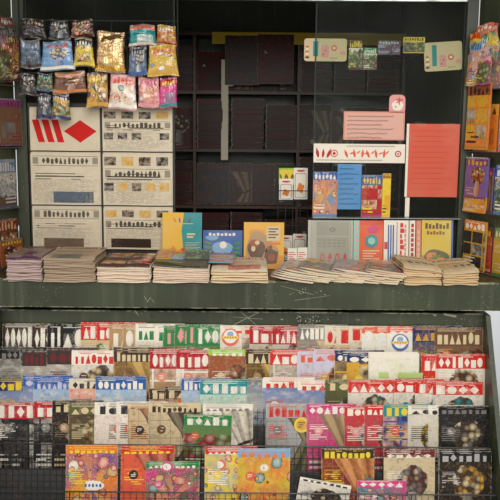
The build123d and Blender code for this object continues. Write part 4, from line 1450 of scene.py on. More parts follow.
sun = label(4, 252, 442, 0.0135)
sun.lay("yellow", oval(0, 0, 64, 64, 24, 0.03, 12))
sun.lay("gold", oval(0, 0, 44, 44, 20))
sun.lay("brown", *[box_of(-16 + 5 * (k % 2), 8 - 9 * k, 14 - 6 * (k % 3), 12 - 9 * k) for k in range(3)])
for x, z, shade in ((-51, 778, "coral"), (677, 762, "blue")):
    round_label = label(1, x, z, 0.0145)
    round_label.lay(shade, oval(0, 0, 74, 74, 28))
    round_label.lay("white", oval(0, 4, 58, 58, 24))
    round_label.lay("sky", oval(0, 10, 26, 34, 16, 0.1))
    round_label.lay("yellow", box_of(-34, -6, 34, 6))
    round_label.lay("crimson", *[oval(-22 + 11 * k, 0, 6, 6, 8) for k in range(5)])
for left, right in ((582, 624), (664, 768)):
    label(2, left, 628, 0.0150).lay((176, 204, 104), box_of(0, -8, right - left, 16))
price = label(5, -600, 222, 0.0115)
price.lay("white", oval(0, 0, 92, 40, 20, 0.06, 9))
price.lay("blue", *[oval(-30 + 15 * k, 0, 10, 16 - 4 * (k % 2), 10) for k in range(5)])
for x, z, shade in ((-300, 300, "magenta"), (-86, 310, "coral"), (96, 300, "gold"), (520, 240, "teal")):
    badge = label(5, x, z)
    badge.lay(shade, oval(0, 0, 52, 46, 22, 0.07, 11))
    badge.lay("white", oval(0, 0, 34, 28, 16), leaf_of(0, -10, 20, 17.18873))
labels.finish("magazine_paper")

# %% A book that stands on the counter
book_lean = 7
book_y = -0.502
book_thickness = 0.013
books = Stock("books", card=shape_ink, edge=cover_set["edge"])


def stand(left, width, height, shade, thick=book_thickness, forward=0.0):
    """A book's block in one colour, and the place of its lower left front corner."""
    place = shift((left / 1000, book_y - forward, counter_z + 0.0005)) @ turned(-book_lean, "X")
    books.leaf(
        place, (width / 1000, height / 1000, thick), plain(shade), "card", cells=(3, 5),
        bend=lambda u, v: (0.0005 * sin(4 * u + left), 0.0012 * sin(pi * v) * sin(pi * u), 0),
    )
    return Collage(books, place @ shift((0, -thick, 0)))


# %% Books left of the calendar
page = stand(-370, 180, 254, (240, 184, 52))
page.lay("teal", [(70, 0), (180, 0), (180, 254), (98, 254), (88, 170), (96, 90)])
page.lay("cream", box_of(44, 202, 140, 205), *lines_of(112, 152, 150, 8, -13, 2, 9))
for i, shade in enumerate(("orange", "violet", "leaf", "plum")):
    page.lay(shade, leaf_of(62 + 18 * i, 207, 30 - 3 * (i % 2), 26 - 18 * i))
page.lay("orange", [(6, 20), (40, 14), (96, 34), (120, 62), (92, 96), (70, 78), (48, 104), (30, 74), (8, 66)])
page.lay("rust", [(30, 34), (66, 40), (84, 66), (58, 72), (40, 58)], oval(104, 84, 30, 24, 12, 0.1))
page.lay("cream", *lines_of(106, 116, 172, 2, -7, 5, 9))

page = stand(-184, 179, 175, "navy")
page.lay("blue", [(0, 60), (60, 84), (120, 80), (179, 56), (179, 175), (0, 175)])
page.lay("sky", oval(88, 92, 96, 64, 18, 0.05), oval(40, 140, 60, 22, 14, 0.08))
page.lay("gold", [(0, 0), (179, 0), (179, 34), (120, 44), (50, 40), (0, 30)])
blocks = [box_of(26 + 18 * i, 150, 38 + 18 * i, 163 - 3 * (i % 2)) for i in range(7)]
page.lay("white", oval(92, 108, 34, 34, 10, 0.4, 5), *blocks)
page.lay("leaf", *[leaf_of(2, 20 + 26 * i, 46, -50 - 14 * i) for i in range(5)])
page.lay("green", *[leaf_of(177, 14 + 27 * i, 48, 48 + 15 * i) for i in range(5)])
page.lay("pink", *[oval(40 + 22 * i, 24 + 9 * (i % 3), 9, 9, 10) for i in range(6)])
page.lay("orange", *[oval(50 + 27 * i, 12 + 5 * (i % 2), 7, 7, 8) for i in range(4)])

page = stand(1, 184, 213, (240, 178, 52))
page.lay((228, 152, 40), [(0, 0), (184, 0), (184, 60), (100, 78), (0, 60)], oval(60, 160, 70, 50, 14, 0.1))
page.lay("tan", oval(70, 96, 118, 150, 20, 0.07, 4), oval(128, 66, 62, 90, 16, 0.08))
page.lay("brown", oval(58, 86, 80, 96, 16, 0.1, 3), [(92, 22), (150, 26), (158, 78), (118, 96), (96, 70)])
page.lay("rust", oval(50, 116, 44, 40, 14, 0.1), oval(128, 52, 34, 34, 12))
page.lay("cream", oval(62, 120, 22, 20, 10), oval(44, 92, 20, 26, 10), box_of(104, 128, 166, 196))
page.lay("brown", *lines_of(112, 180, 158, 6, -13, 4, 12, 2))
page.lay("orange", box_of(104, 112, 166, 122))

for i, left in enumerate((202, 248)):
    page = stand(left, 44, 96 + 4 * i, "white", thick=0.003, forward=0.002 * i)
    page.lay("red", *lines_of(4, 12, 38, 3, 9, 8, 7))

# %% The calendar and the books right of it
page = stand(294, 204, 225, (158, 154, 136))
page.lay((188, 186, 172), box_of(0, 0, 12, 225), box_of(193, 0, 204, 225))
page.lay((178, 174, 154), box_of(14, 6, 190, 222), box_of(193, 20, 197, 210))
page.lay((156, 152, 134), box_of(38, 12, 186, 150), box_of(38, 154, 186, 218))
days = [(46 + 22 * (k % 6), 132 - 14 * (k // 6)) for k in range(18)]
page.lay((140, 136, 118), *[box_of(x, z, x + 14, z + 6) for x, z in days])
page.lay((118, 114, 98), oval(110, 182, 26, 20, 20))
page.lay((156, 152, 134), oval(110, 182, 16, 11, 18))
page.lay("red", *[oval(66 + 34 * k, 52, 20 - 6 * (k % 2), 46, 18) for k in range(4)])
page.lay((156, 152, 134), oval(66, 52, 10, 30, 14), oval(134, 52, 10, 30, 14), box_of(96, 38, 104, 48))

page = stand(501, 134, 225, (234, 92, 44))
page.lay("mint", box_of(0, 0, 26, 225))
page.lay("pink", *[oval(13, 16 + 24 * k, 14, 12, 10, 0.2) for k in range(9)])
page.lay((222, 74, 40), box_of(26, 0, 134, 40), box_of(26, 206, 134, 225))
page.lay("teal", oval(82, 132, 66, 66, 6, start=0.5))
page.lay("mint", oval(82, 132, 36, 36, 6, start=0.5))
page.lay("magenta", oval(88, 186, 50, 32, 15, 0.22, 5))
page.lay("cream", *lines_of(42, 84, 118, 6, -12, 4, 14))

page = stand(639, 112, 227, "white")
stems = [box_of(18 + 11 * k, 30 + 16 * (k % 2), 24 + 11 * k, 206) for k in range(3)]
page.lay("blue", *stems, box_of(58, 8, 61, 219))
page.lay("red", box_of(2, 96, 17, 128), *lines_of(74, 20, 92, 20, 25, 8, 5))
page.lay("salmon", *lines_of(94, 24, 101, 16, 21, 9))

page = stand(755, 27, 227, "white")
page.lay("crimson", *lines_of(8, 20, 20, 16, 22, 9))
page = stand(786, 22, 227, "salmon")
page.lay("cream", *lines_of(6, 60, 15, 18, 26, 5))

page = stand(811, 143, 229, (200, 162, 56))
page.lay((220, 190, 64), box_of(0, 70, 134, 229))
page.lay("blue", box_of(134, 0, 143, 229))
page.lay("brown", *[box_of(16 + 16 * k, 190, 27 + 16 * k, 216 - 5 * (k % 3)) for k in range(7)])
page.lay("rust", *[box_of(24 + 14 * k, 164, 34 + 14 * k, 180 - 4 * (k % 2)) for k in range(6)])
page.lay("olive", oval(66, 54, 120, 84, 18, 0.06, 4))
page.lay("orange", oval(48, 62, 52, 44, 12, 0.08), oval(88, 44, 46, 36, 12, 0.08), oval(66, 26, 44, 26, 12))
page.lay("maroon", oval(78, 72, 26, 22, 10), oval(36, 38, 24, 20, 10))
page.lay("leaf", *[leaf_of(66, 52, 34, 40 * k) for k in range(-1, 3)])
books.finish("magazine_paper", "standing_books", sharp=50)

# %% [markdown]
# The right pane is the kiosk's notice board. From left to right and top to bottom there are hanging
# packets and cards behind the glass line, a pink card with a round tab, a white banner, a large
# coral sheet, a blue note and a few guide books on a thin aluminium ledge. The rows of writing on
# them are drawn as wavy strokes and small blocks that say nothing.

# %% Notices and cards on the right pane
sheet_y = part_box("pane_sheets")[1].y
notices = Stock("notices", card=card_ink, tape=wrap)


def notice(left, low, right, top, shade, corner=2.0):
    """A card taped to the pane, in millimetres, and the place of its lower left corner."""
    place = shift((left / 1000, sheet_y, low / 1000))
    notices.patch(place, card_of(0, 0, right - left, top - low, corner), LIFT, shade)
    return Collage(notices, place @ shift((0, -LIFT / 2, 0)))


note = notice(451, 1618, 728, 1746, (226, 168, 148), 4)
note.lay("salmon", card_of(3, 3, 274, 125, 4))
note.lay((228, 174, 154), card_of(6, 6, 271, 122, 4))
note.lay("umber", *[stroke(16, 106 - 19 * k, 210 - 26 * (k % 3), 6, 30, 2.4, k * 3.1) for k in range(6)])
tab = notice(655, 1734, 728, 1822, "pink", 20)
tab.lay("white", oval(38, 40, 52, 46, 20, 0.05, 5))
tab.lay("red", *[leaf_of(46, 60, 20, 60 + 60 * k) for k in range(-2, 3)])
tab.lay("coral", oval(46, 60, 10, 10, 10), oval(30, 34, 8, 8, 8))
banner = notice(317, 1514, 735, 1600, "white")
banner.lay("crimson", *[leaf_of(22 + 19 * (k % 3), 20, 50 - 6 * (k % 2), 12 - 18 * k) for k in range(3)])
tall_leaves = [leaf_of(156 + 33 * k, 22, 42, 22 - 13 * (k % 3)) for k in range(6)]
banner.lay("coral", oval(94, 42, 34, 34, 20), *tall_leaves)
banner.lay("coral", *[leaf_of(164 + 33 * k, 40, 24, -70 + 25 * (k % 2)) for k in range(6)])
banner.lay("white", oval(94, 42, 24, 24, 16))
banner.lay("crimson", oval(94, 42, 14, 14, 12), oval(386, 42, 28, 28, 18))
banner.lay("white", oval(386, 42, 19, 19, 14))
banner.lay("coral", oval(386, 42, 10, 10, 10))
banner.lay("grey", stroke(14, 12, 300, 4, 44, 2.0, 3), stroke(150, 76, 220, 4, 40, 2.0, 9))
large = notice(739, 1360, 981, 1693, (216, 92, 64))
large.lay("white", box_of(0, 0, 11, 333))
large.lay((196, 72, 52), *lines_of(24, 300, 218, 2, -24, 12, 22))
blue_note = notice(429, 1300, 539, 1508, (84, 146, 196), 3)
rows = [stroke(9, 186 - 23 * k, 66 + 22 * (k % 2), 6, 12, 3.2, k * 5.7 + 1) for k in range(8)]
blue_note.lay("navy", *rows)
notice(744, 1268, 764, 1357, "white", 1)
# The middle of each tape in millimetres, and its turn in degrees.
TAPES = (
    (455, 1742, 40), (722, 1622, -40), (322, 1596, 44), (800, 1690, 8), (930, 1688, -6), (440, 1504, 10),
    (525, 1504, -12),
)
for x, z, angle in TAPES:
    place = shift((x / 1000, sheet_y - 0.0018, z / 1000)) @ turned(angle)
    notices.patch(place, box_of(-26, -9, 26, 9), LIFT / 2, "white", "tape")
notices.finish("card_sheet", "pane_sheets", sharp=50)

# %% Packets that hang at the top of the right pane
packet_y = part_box("hanging_packets")[1].y
packets = Stock("packets", **cover_set, card=card_ink)
# Left, foot, right and top in millimetres, then a style with inks, or a card with its colour.
PACKETS = (
    (266, 1968, 458, 2068, "card", "cream"),
    (467, 1932, 529, 2060, "fruit", "white umber yellow maroon white"),
    (533, 1932, 594, 2028, "fruit", "white green white crimson green"),
    (598, 1999, 697, 2060, "panel", "umber soot lilac plum violet"),
    (711, 2007, 808, 2077, "fruit", "yellow yellow umber gold umber"),
    (812, 1925, 983, 2052, "card", "cream"),
)
for left, low, right, top, style, inks in PACKETS:
    wide, tall = right - left, top - low
    place = shift((left / 1000, packet_y - 0.0004, low / 1000))
    if style == "card":
        place = place @ turned(-4 if left > 500 else 0)
        packets.patch(place, card_of(0, 0, wide, tall, 12), 0.0012, inks)
        face = Collage(packets, place @ shift((0, -0.0010, 0)))
        face.lay("teal", box_of(0.21 * wide, 22, 0.33 * wide, tall - 12))
        face.lay("pink", card_of(0.4 * wide, 16, 0.58 * wide, 70, 4), oval(0.9 * wide, 34, 24, 26, 14, 0.08))
        face.lay("yellow", oval(0.9 * wide, 26, 14, 10, 10))
        low_dots = [oval(14, 20 + 22 * k, 15, 9, 10) for k in range(3)]
        face.lay("coral", oval(0.7 * wide, 58, 26, 26, 16), *low_dots)
        high_dots = [oval(14, 31 + 22 * k, 13, 12, 10) for k in range(2)]
        face.lay("white", oval(0.7 * wide, 58, 13, 13, 12), *high_dots)
        face.lay("soot", oval(14, 16, 20, 7, 12), *[oval(0.63 * wide + 9 * k, 14, 6, 4, 8) for k in range(4)])
        face.lay("plum", *[oval(0.45 * wide + 10 * k, 30 + 17 * (k % 2), 6, 6, 8) for k in range(2)])
    else:
        packets.leaf(
            place, (wide / 1000, tall / 1000, 0.003), look(inks, 0.24), style, cells=(5, 6),
            bend=lambda u, v: (0, -0.0008 * sin(pi * u) * sin(pi * v), 0),
        )
packets.finish("plastic_film", "hanging_packets", sharp=60)

# %% Guide books on the ledge
guides = Stock("guides", **cover_set)
ledge_low, ledge_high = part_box("guide_books")
# Left, right and height in millimetres, the title's height, then style and inks.
GUIDES = """
    317 428 205 0.16 toy gold blue white sky orange
    541 633 192 0.22 panel crimson blue yellow red gold
    635 673 200 0.10 plain yellow gold brown yellow orange
"""
for (left, right, height, title), style, inks in table(GUIDES):
    size = ((right - left) / 1000, height / 1000, ledge_high.y - ledge_low.y)
    guides.leaf(shift((left / 1000, ledge_high.y, ledge_low.z)), size, look(inks, title), style, cells=(2, 3))
guides.finish("magazine_paper", "guide_books")

# %% [markdown]
# The display wings are the shop front's shutters, folded out. Their inner faces have ledges with
# more magazines, calendars and books. On the real kiosk only their inner edges show from the front,
# so the stock further out is a guess in the same spirit. The left wing's first items and bags are
# printed in darker, duller inks than the right's, as painted shade. The back wall's shelves hold
# stock face out, each pack leaning on the next, in covers printed dark as painted shade for the dim
# inside of the cabin.


# %% Where the wings are and what is on their ledges
side_x, front_y, wing_angle = 1.035, -0.45, 65


def wing_place(side):
    """The frame of a wing: X along it from the post, its inner face at Y = 0. Side is 1 or -1."""
    post = shift((side_x, front_y, 0)) @ turned(-wing_angle, "Z")
    return post if side > 0 else Matrix.Scale(-1, 4, (1, 0, 0)) @ post


def ledge_top(level):
    """The height of a wing's ledge, counted up from 0."""
    return 1.0333 + 0.27 * level


# The first item's width, style and inks on each ledge, from the lowest up. The others are drawn.
WING_ROWS = {
    1: (
        (0.150, "panel", "crimson umber gold rust gold"),
        (0.138, "cloth", "violet plum orange rust violet"),
        (0.146, "plain", "orange gold maroon orange rust"),
        (0.150, "toy", "coral blue white pink teal"),
    ),
    # The left wing's first items are printed in dark, dull inks as painted shade.
    -1: (
        (0.134, "still", "umber maroon tan brown rust"),
        (0.128, "view", "soot slate silver umber brown"),
        (0.150, "plain", "plum umber grey maroon brown"),
        (0.146, "fruit", "umber maroon tan brown slate"),
    ),
}
REST_INKS = (
    "cream red white tan gold",
    "paper blue white sky slate",
    "soot black gold umber rust",
    "white magenta white pink violet",
    "gold green cream leaf orange",
)
# Dark, dull inks for the left wing's bags, as painted shade.
SHADED_WING_INKS = ("soot maroon silver umber brown", "umber soot grey slate plum", "black umber tan brown maroon")
print("ledges:", [round(ledge_top(level), 3) for level in range(len(WING_ROWS[1]))])

# %% Magazines on the wings
first_along, item_gap, copy_gap = 0.019, 0.011, 0.0048
wing_stock = Stock("wing_magazines", **covers, edge=newsprint_edge)
for side, rows in WING_ROWS.items():
    for level, first in enumerate(rows):
        along = first_along
        for item in range(3):
            width, style, inks = first
            if item:
                width = draw.uniform(0.136, 0.158)
                style = STYLES[(level + item * 2) % len(STYLES)]
                inks = REST_INKS[(level * 2 + item * 3 + (side > 0)) % len(REST_INKS)]
            tall = draw.uniform(0.196, 0.222)
            place = wing_place(side) @ shift((along, -0.0006, ledge_top(level) + 0.0004))
            for copy in range(2):

                def lean_back(u, v):
                    forward = copy_gap * copy * (1 - 0.2 * v)
                    return (0.002 * copy, -0.004 * (1 - v) - forward - 0.001 * sin(pi * v), 0)

                a_look = look(inks, draw.uniform(0.14, 0.24))
                size = (width, tall - 0.006 * copy, 0.0042)
                wing_stock.leaf(place, size, a_look, style, cells=(3, 4), bend=lean_back)
            along += width + item_gap

# %% Bags and calendars on the wings
for side in (1, -1):
    for k in range(7):
        width = draw.uniform(0.085, 0.115)
        x = 0.017 * k + draw.uniform(-0.004, 0.004)
        z = 1.862 + 0.030 * ((k * 3) % 5)
        bend, full = bag_shape(40 + k * 2.3 + side, width, 0.15)
        wing_stock.leaf(
            wing_place(side) @ shift((x, -0.042 - 0.007 * (k % 3), z)),
            (width, draw.uniform(0.13, 0.16), 0.020),
            look(COMIC_INKS[(k + 3) % 8] if side > 0 else SHADED_WING_INKS[k % 3]),
            ("toy", "fruit")[k % 2], cells=(8, 8), bend=bend, full=full,
        )
# Side, ledge, height over it in millimetres, place in front of the wing, height, style and inks.
CALENDARS = """
    1 2 12 -0.034 0.285 panel orange rust umber gold umber
    1 1 64 -0.026 0.178 still violet plum gold rust orange
    1 1 2 -0.030 0.070 panel gold rust cream orange gold
    1 0 8 -0.018 0.222 panel gold orange white soot umber
    -1 2 12 -0.030 0.200 plain brown plum maroon umber grey
    -1 0 8 -0.014 0.120 still rust brown gold umber maroon
"""
calendars = list(table(CALENDARS))
for (side, level, raised, out, tall), style, inks in calendars:
    place = wing_place(side) @ shift((0.004, out, ledge_top(level) + raised / 1000))
    for copy in range(3):
        wing_stock.leaf(
            place, (0.145, tall, 0.003), look(inks, 0.16), style, cells=(4, 5),
            bend=lambda u, v: (0.001 * copy, -0.0035 * copy - 0.006 * (1 - v) ** 2, -0.002 * copy),
        )
wing_stock.finish("magazine_paper", "wing_stock")

# %% Stock on the back shelves
shelf_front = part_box("shelf_stock")[0].y
# Dark covers for the back shelves: their inks are painted shade for the dim inside of the cabin.
SHELF_INKS = (
    "umber dim_red dim_rust dim_brown dim_red",
    "dim_red maroon dim_brown umber dim_brown",
    "soot umber dim_rust dim_brown soot",
    "dim_brown soot dim_rust dim_red umber",
)
bays = ((-0.965, -0.332), (-0.316, 0.332), (0.332, 0.965))
lowest_shelf, shelf_pitch, clearance = 0.468, 0.358, 0.0006
upright_width, pack_width, pack_depth, pack_gap = 0.21, 0.205, 0.185, 0.012
backs = Stock("shelf_magazines", **covers, edge=newsprint_edge)
for level in range(5):
    shelf_z = lowest_shelf + shelf_pitch * level
    for bay, (bay_left, bay_right) in enumerate(bays):
        flat = (level + bay) % 2 == 0
        step = (bay_right - bay_left - 0.215) / (2 if flat else 3)
        for i in range(3 if flat else 4):
            left, low = bay_left + step * i, shelf_z + clearance
            while flat and low < shelf_z + (0.31 if i < 2 else 0.27):
                thick = draw.uniform(0.009, 0.019)
                backs.leaf(
                    flat_place(left + draw.uniform(0, 0.008), shelf_front + draw.uniform(0, 0.012), low),
                    (step - pack_gap if i < 2 else pack_width, pack_depth, thick * 0.96),
                    look(SHELF_INKS[draw.randrange(4)], 0.12), "plain", "plain", (1, 1),
                )
                low += thick
            if not flat:
                tall = draw.uniform(0.235, 0.290)
                backs.leaf(
                    shift((left, shelf_front + 0.10 - 0.014 * (4 - i), low)) @ turned(-7, "X"),
                    (upright_width, tall, 0.011),
                    look(SHELF_INKS[draw.randrange(4)], draw.uniform(0.1, 0.22)),
                    ("plain", "still", "cloth")[draw.randrange(3)], cells=(2, 3),
                )
backs.finish("magazine_paper", "shelf_stock")

# %% The shelf's bright edge, the torn strip and two covers that hang over it
edge_low, edge_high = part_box("shelf_strips")
trim_y = edge_high.y
trim = Stock("shelf_trim", card=card_ink, edge=cover_set["edge"], plain=covers["plain"])
edge_left, edge_tall = -0.216, 0.072
# The yellow edge is paler than its own yellow, as painted light from the front.
trim.leaf(
    shift((edge_left, trim_y, edge_high.z - edge_tall)), (edge_high.x - edge_left, edge_tall, 0.0028),
    plain((236, 196, 46)), "card", "card", (12, 2),
    lambda u, v: (0, -0.0006 * sin(40 * u), 0.001 * sin(23 * u) * (1 - v)),
)
strip_left, strip_top = -0.158, 2.092


def torn(u, v):
    """Bites torn from the left side of the paper strip, about half way down."""
    bite = 0.010 if 0.38 < v < 0.52 else 0.004 if 0.3 < v < 0.6 else 0.0
    return ((1 - u) * bite + 0.002 * swell(u * 3, v * 30, 2), -0.001 * sin(9 * v), 0)


# The strip's cream is paler than the paper's own colour, as painted light.
trim.leaf(
    shift((strip_left, trim_y, edge_low.z)), (0.044, strip_top - edge_low.z, 0.0024),
    plain((246, 234, 200)), "card", "card", (3, 40), torn,
)
trim.patch(shift((-0.118, trim_y - 0.0026, 1.930)), box_of(0, 0, 34, 9), 0.0006, "cream")
# The two covers are printed in dark inks as painted shade, like the stock on the shelves.
for left, drop, width, inks in (
    (-0.135, 0.020, 0.214, "umber dim_brown dim_rust soot dim_brown"),
    (0.066, 0.012, 0.224, "dim_red dim_red dim_rust umber dim_red"),
):
    trim.leaf(
        shift((left, trim_y - 0.0034, edge_high.z - drop - 0.30)), (width, 0.30, 0.005),
        look(inks, 0.12), "plain", cells=(3, 4), bend=lambda u, v: (0, -0.004 * (1 - v) ** 2, 0),
    )
trim.finish("card_sheet", "shelf_strips", sharp=50)

# %% [markdown]
# Some things repeat by a rule: the bars of a wire basket, the rivets and cover strips on the cabin's
# sides, the seams of the roof, the rings of a calendar's binding. Those are grown with Geometry Nodes
# from a few plain lines. Each tree has named sizes, ends in real geometry with its finish on it, and
# is run once, so that what is left is an ordinary mesh.


# %% A helper for grown parts
def guide_mesh(guides):
    """A mesh of loose points, or of lines given as start, end and the direction that each faces."""
    mesh = bpy.data.meshes.new("guides")
    if isinstance(guides[0], Vector):
        mesh.from_pydata([tuple(point) for point in guides], [], [])
        return mesh
    ends = [tuple(end) for start, stop, way in guides for end in (start, stop)]
    facing = [tuple(way) for start, stop, way in guides for end in (start, stop)]
    mesh.from_pydata(ends, [(2 * i, 2 * i + 1) for i in range(len(guides))], [])
    ways = np.array(facing, np.float32).ravel()
    mesh.attributes.new("facing", "FLOAT_VECTOR", "POINT").data.foreach_set("vector", ways)
    return mesh


class Grower:
    """A Geometry Nodes tree with named sizes."""

    def __init__(self, name, **sizes):
        self.tree = bpy.data.node_groups.new(name, "GeometryNodeTree")
        sockets = self.tree.interface
        sockets.new_socket("Geometry", in_out="INPUT", socket_type="NodeSocketGeometry")
        sockets.new_socket("Finish", in_out="INPUT", socket_type="NodeSocketMaterial")
        sockets.new_socket("Geometry", in_out="OUTPUT", socket_type="NodeSocketGeometry")
        for size, value in sizes.items():
            sockets.new_socket(size, in_out="INPUT", socket_type="NodeSocketFloat").default_value = value
        self.given = self.tree.nodes.new("NodeGroupInput").outputs
        self.result = self.tree.nodes.new("NodeGroupOutput").inputs[0]

    def feed(self, socket, value):
        """Links an output to a socket, or writes a value in it."""
        if isinstance(value, bpy.types.NodeSocket):
            self.tree.links.new(value, socket)
        else:
            socket.default_value = value

    def put(self, kind, *values, settings=None, **inputs):
        """One node, fed in order and by name. Gives its first output."""
        node = self.tree.nodes.new(kind)
        for setting, value in (settings or {}).items():
            setattr(node, setting, value)
        for socket, value in zip(node.inputs, values):
            self.feed(socket, value)
        for name, value in inputs.items():
            self.feed(node.inputs[name.replace("_", " ")], value)
        return node.outputs[0]

    def lines(self):
        """The given lines as curves."""
        return self.put("GeometryNodeMeshToCurve", Mesh=self.given["Geometry"])

    def facing(self):
        """The direction that each line or point faces."""
        as_vector = {"data_type": "FLOAT_VECTOR"}
        return self.put("GeometryNodeInputNamedAttribute", settings=as_vector, Name="facing")

    def circle(self, corners, radius="Radius"):
        """A circle with a named size as its radius."""
        return self.put("GeometryNodeCurvePrimitiveCircle", Resolution=corners, Radius=self.given[radius])

    def sweep(self, curves, section, caps=True):
        """A solid with one section along curves."""
        return self.put("GeometryNodeCurveToMesh", Curve=curves, Profile_Curve=section, Fill_Caps=caps)

    def strew(self, thing):
        """The thing at an even pitch along the lines, turned to the direction they face."""
        pitch, by_length = self.given["Pitch"], {"mode": "LENGTH"}
        spots = self.put("GeometryNodeCurveToPoints", settings=by_length, Curve=self.lines(), Length=pitch)
        way = self.put("FunctionNodeAlignRotationToVector", settings={"axis": "Z"}, Vector=self.facing())
        return self.put("GeometryNodeInstanceOnPoints", Points=spots, Instance=thing, Rotation=way)

    def close(self, geometry):
        """Ends the tree with real geometry in the given finish."""
        real = self.put("GeometryNodeRealizeInstances", Geometry=geometry)
        dressed = self.put("GeometryNodeSetMaterial", Geometry=real, Material=self.given["Finish"])
        self.feed(self.result, dressed)
        return self

    def grow(self, name, guides, finish, slot, *replaced, sharp=35, **sizes):
        """Grows a piece from lines or points."""
        seed = add_object(name + "_guides", guide_mesh(guides))
        modifier = seed.modifiers.new(name, "NODES")
        modifier.node_group = self.tree
        keys = {s.name: s.identifier for s in self.tree.interface.items_tree if s.in_out == "INPUT"}
        modifier[keys["Finish"]] = finish
        for size, value in sizes.items():
            modifier[keys[size]] = float(value)
        grown = bpy.data.meshes.new_from_object(seed.evaluated_get(bpy.context.evaluated_depsgraph_get()))
        seed.modifiers.remove(modifier)
        bpy.data.objects.remove(seed)
        grown.name = name
        hand_over(name, grown, replaced, sharp)


# %% Trees for bars, wires, rivets, rings and nets
def bar_tree():
    """Chamfered bars along lines, flat side to the direction they face."""
    g = Grower("bars", Width=0.03, Thickness=0.003, Chamfer=0.001)
    lines = g.put("GeometryNodeSetCurveNormal", settings={"mode": "FREE"}, Curve=g.lines(), Normal=g.facing())
    width, thickness = g.given["Width"], g.given["Thickness"]
    section = g.put("GeometryNodeCurvePrimitiveQuadrilateral", Width=thickness, Height=width)
    section = g.put("GeometryNodeFilletCurve", Curve=section, Radius=g.given["Chamfer"])
    return g.close(g.sweep(lines, section))


def wire_tree():
    """Round wire along lines."""
    g = Grower("wires", Radius=0.0015)
    return g.close(g.sweep(g.lines(), g.circle(6)))


def rivet_tree():
    """Domed rivets at an even pitch along lines."""
    g = Grower("rivets", Pitch=0.1, Radius=0.006)
    ball = g.put("GeometryNodeMeshUVSphere", Segments=8, Rings=5, Radius=g.given["Radius"])
    return g.close(g.strew(g.put("GeometryNodeTransform", Geometry=ball, Scale=(1.0, 1.0, 0.45))))


def ring_tree():
    """Rings of wire at an even pitch along lines, each square to the direction it faces."""
    g = Grower("rings", Pitch=0.008, Radius=0.004, Wire=0.0006)
    return g.close(g.strew(g.sweep(g.circle(10), g.circle(4, "Wire"), caps=False)))


def net_tree():
    """A net of wires of a width and height, leaning back, at each point."""
    g = Grower("nets", Width=1.0, Height=0.13, Pitch=0.025, Radius=0.0013, Lean=0.0)
    joined = g.tree.nodes.new("GeometryNodeJoinGeometry")
    for run, step_axis, length, room in (("Z", "X", "Height", "Width"), ("X", "Z", "Width", "Height")):
        end = g.put("ShaderNodeCombineXYZ", **{run: g.given[length]})
        offset = g.put("ShaderNodeCombineXYZ", **{step_axis: g.given["Pitch"]})
        steps = g.put("ShaderNodeMath", g.given[room], g.given["Pitch"], settings={"operation": "DIVIDE"})
        steps = g.put("ShaderNodeMath", steps, settings={"operation": "FLOOR"})
        count = g.put("ShaderNodeMath", steps, 1.0, settings={"operation": "ADD"})
        line = g.put("GeometryNodeCurvePrimitiveLine", End=end)
        spots = g.put("GeometryNodeMeshLine", Count=count, Offset=offset)
        g.feed(joined.inputs[0], g.put("GeometryNodeInstanceOnPoints", Points=spots, Instance=line))
    real = g.put("GeometryNodeRealizeInstances", Geometry=joined.outputs[0])
    net = g.sweep(real, g.circle(5))
    turn = g.put("ShaderNodeCombineXYZ", X=g.given["Lean"])
    points = g.given["Geometry"]
    return g.close(g.put("GeometryNodeInstanceOnPoints", Points=points, Instance=net, Rotation=turn))


bars, wires, rivets, rings, nets = bar_tree(), wire_tree(), rivet_tree(), ring_tree(), net_tree()
print("trees:", [g.tree.name for g in (bars, wires, rivets, rings, nets)])

# %% [markdown]
# The two lowest trays have a front of welded wire mesh, one inch wide, with a heavier rim, so that
# papers can be seen but not pulled out. The same mesh closes the back of those trays. It shows
# wherever two magazines leave a gap.

# %% Wire fronts and backs of the two lowest trays
rack_half, pocket = 1.034, 0.034
front_height, back_height = 0.128, 0.27
to_front, to_rear, to_right = (0, -1, 0), (0, 1, 0), (1, 0, 0)
front_points, back_points, rim_lines = [], [], []
for tier in (4, 5):
    place = tier_place(tier)
    front_points.append(place @ Vector((-rack_half, -pocket - 0.001, 0.002)))
    back_points.append(place @ Vector((-rack_half, -0.0012, 0.004)))
    for rise in (front_height, 0.022):
        left = place @ Vector((-rack_half, -pocket - 0.003, rise))
        rim_lines.append((left, left + Vector((2 * rack_half, 0, 0)), to_front))
    for i in range(7):
        x = -rack_half + 2 * rack_half * i / 6
        ends = [place @ Vector((x, -pocket - 0.0035, z)) for z in (0.010, front_height)]
        rim_lines.append((*ends, to_front))
net_sizes = dict(Width=2 * rack_half, Pitch=0.0256, Lean=-lean)
for name, points, height, radius, replaced in (
    ("wire_fronts", front_points, front_height, 0.0011, ["rack_wire_fronts"]),
    ("wire_backs", back_points, back_height, 0.0010, []),
):
    nets.grow(name, points, black_wire, "black_wire", *replaced, Height=height, Radius=radius, **net_sizes)
wires.grow("wire_rims", rim_lines, black_wire, "black_wire", Radius=0.0024)

# %% [markdown]
# At the right end of the hatch a wire stand holds cards: a yellow-green tag at its top left, and
# white cards with an orange and black pattern. It is bent from round wire, with two shelves.


# %% Card stand in the hatch
def upright(x, y, low, high, way=to_front):
    """A line straight up."""
    return (x, y, low), (x, y, high), way


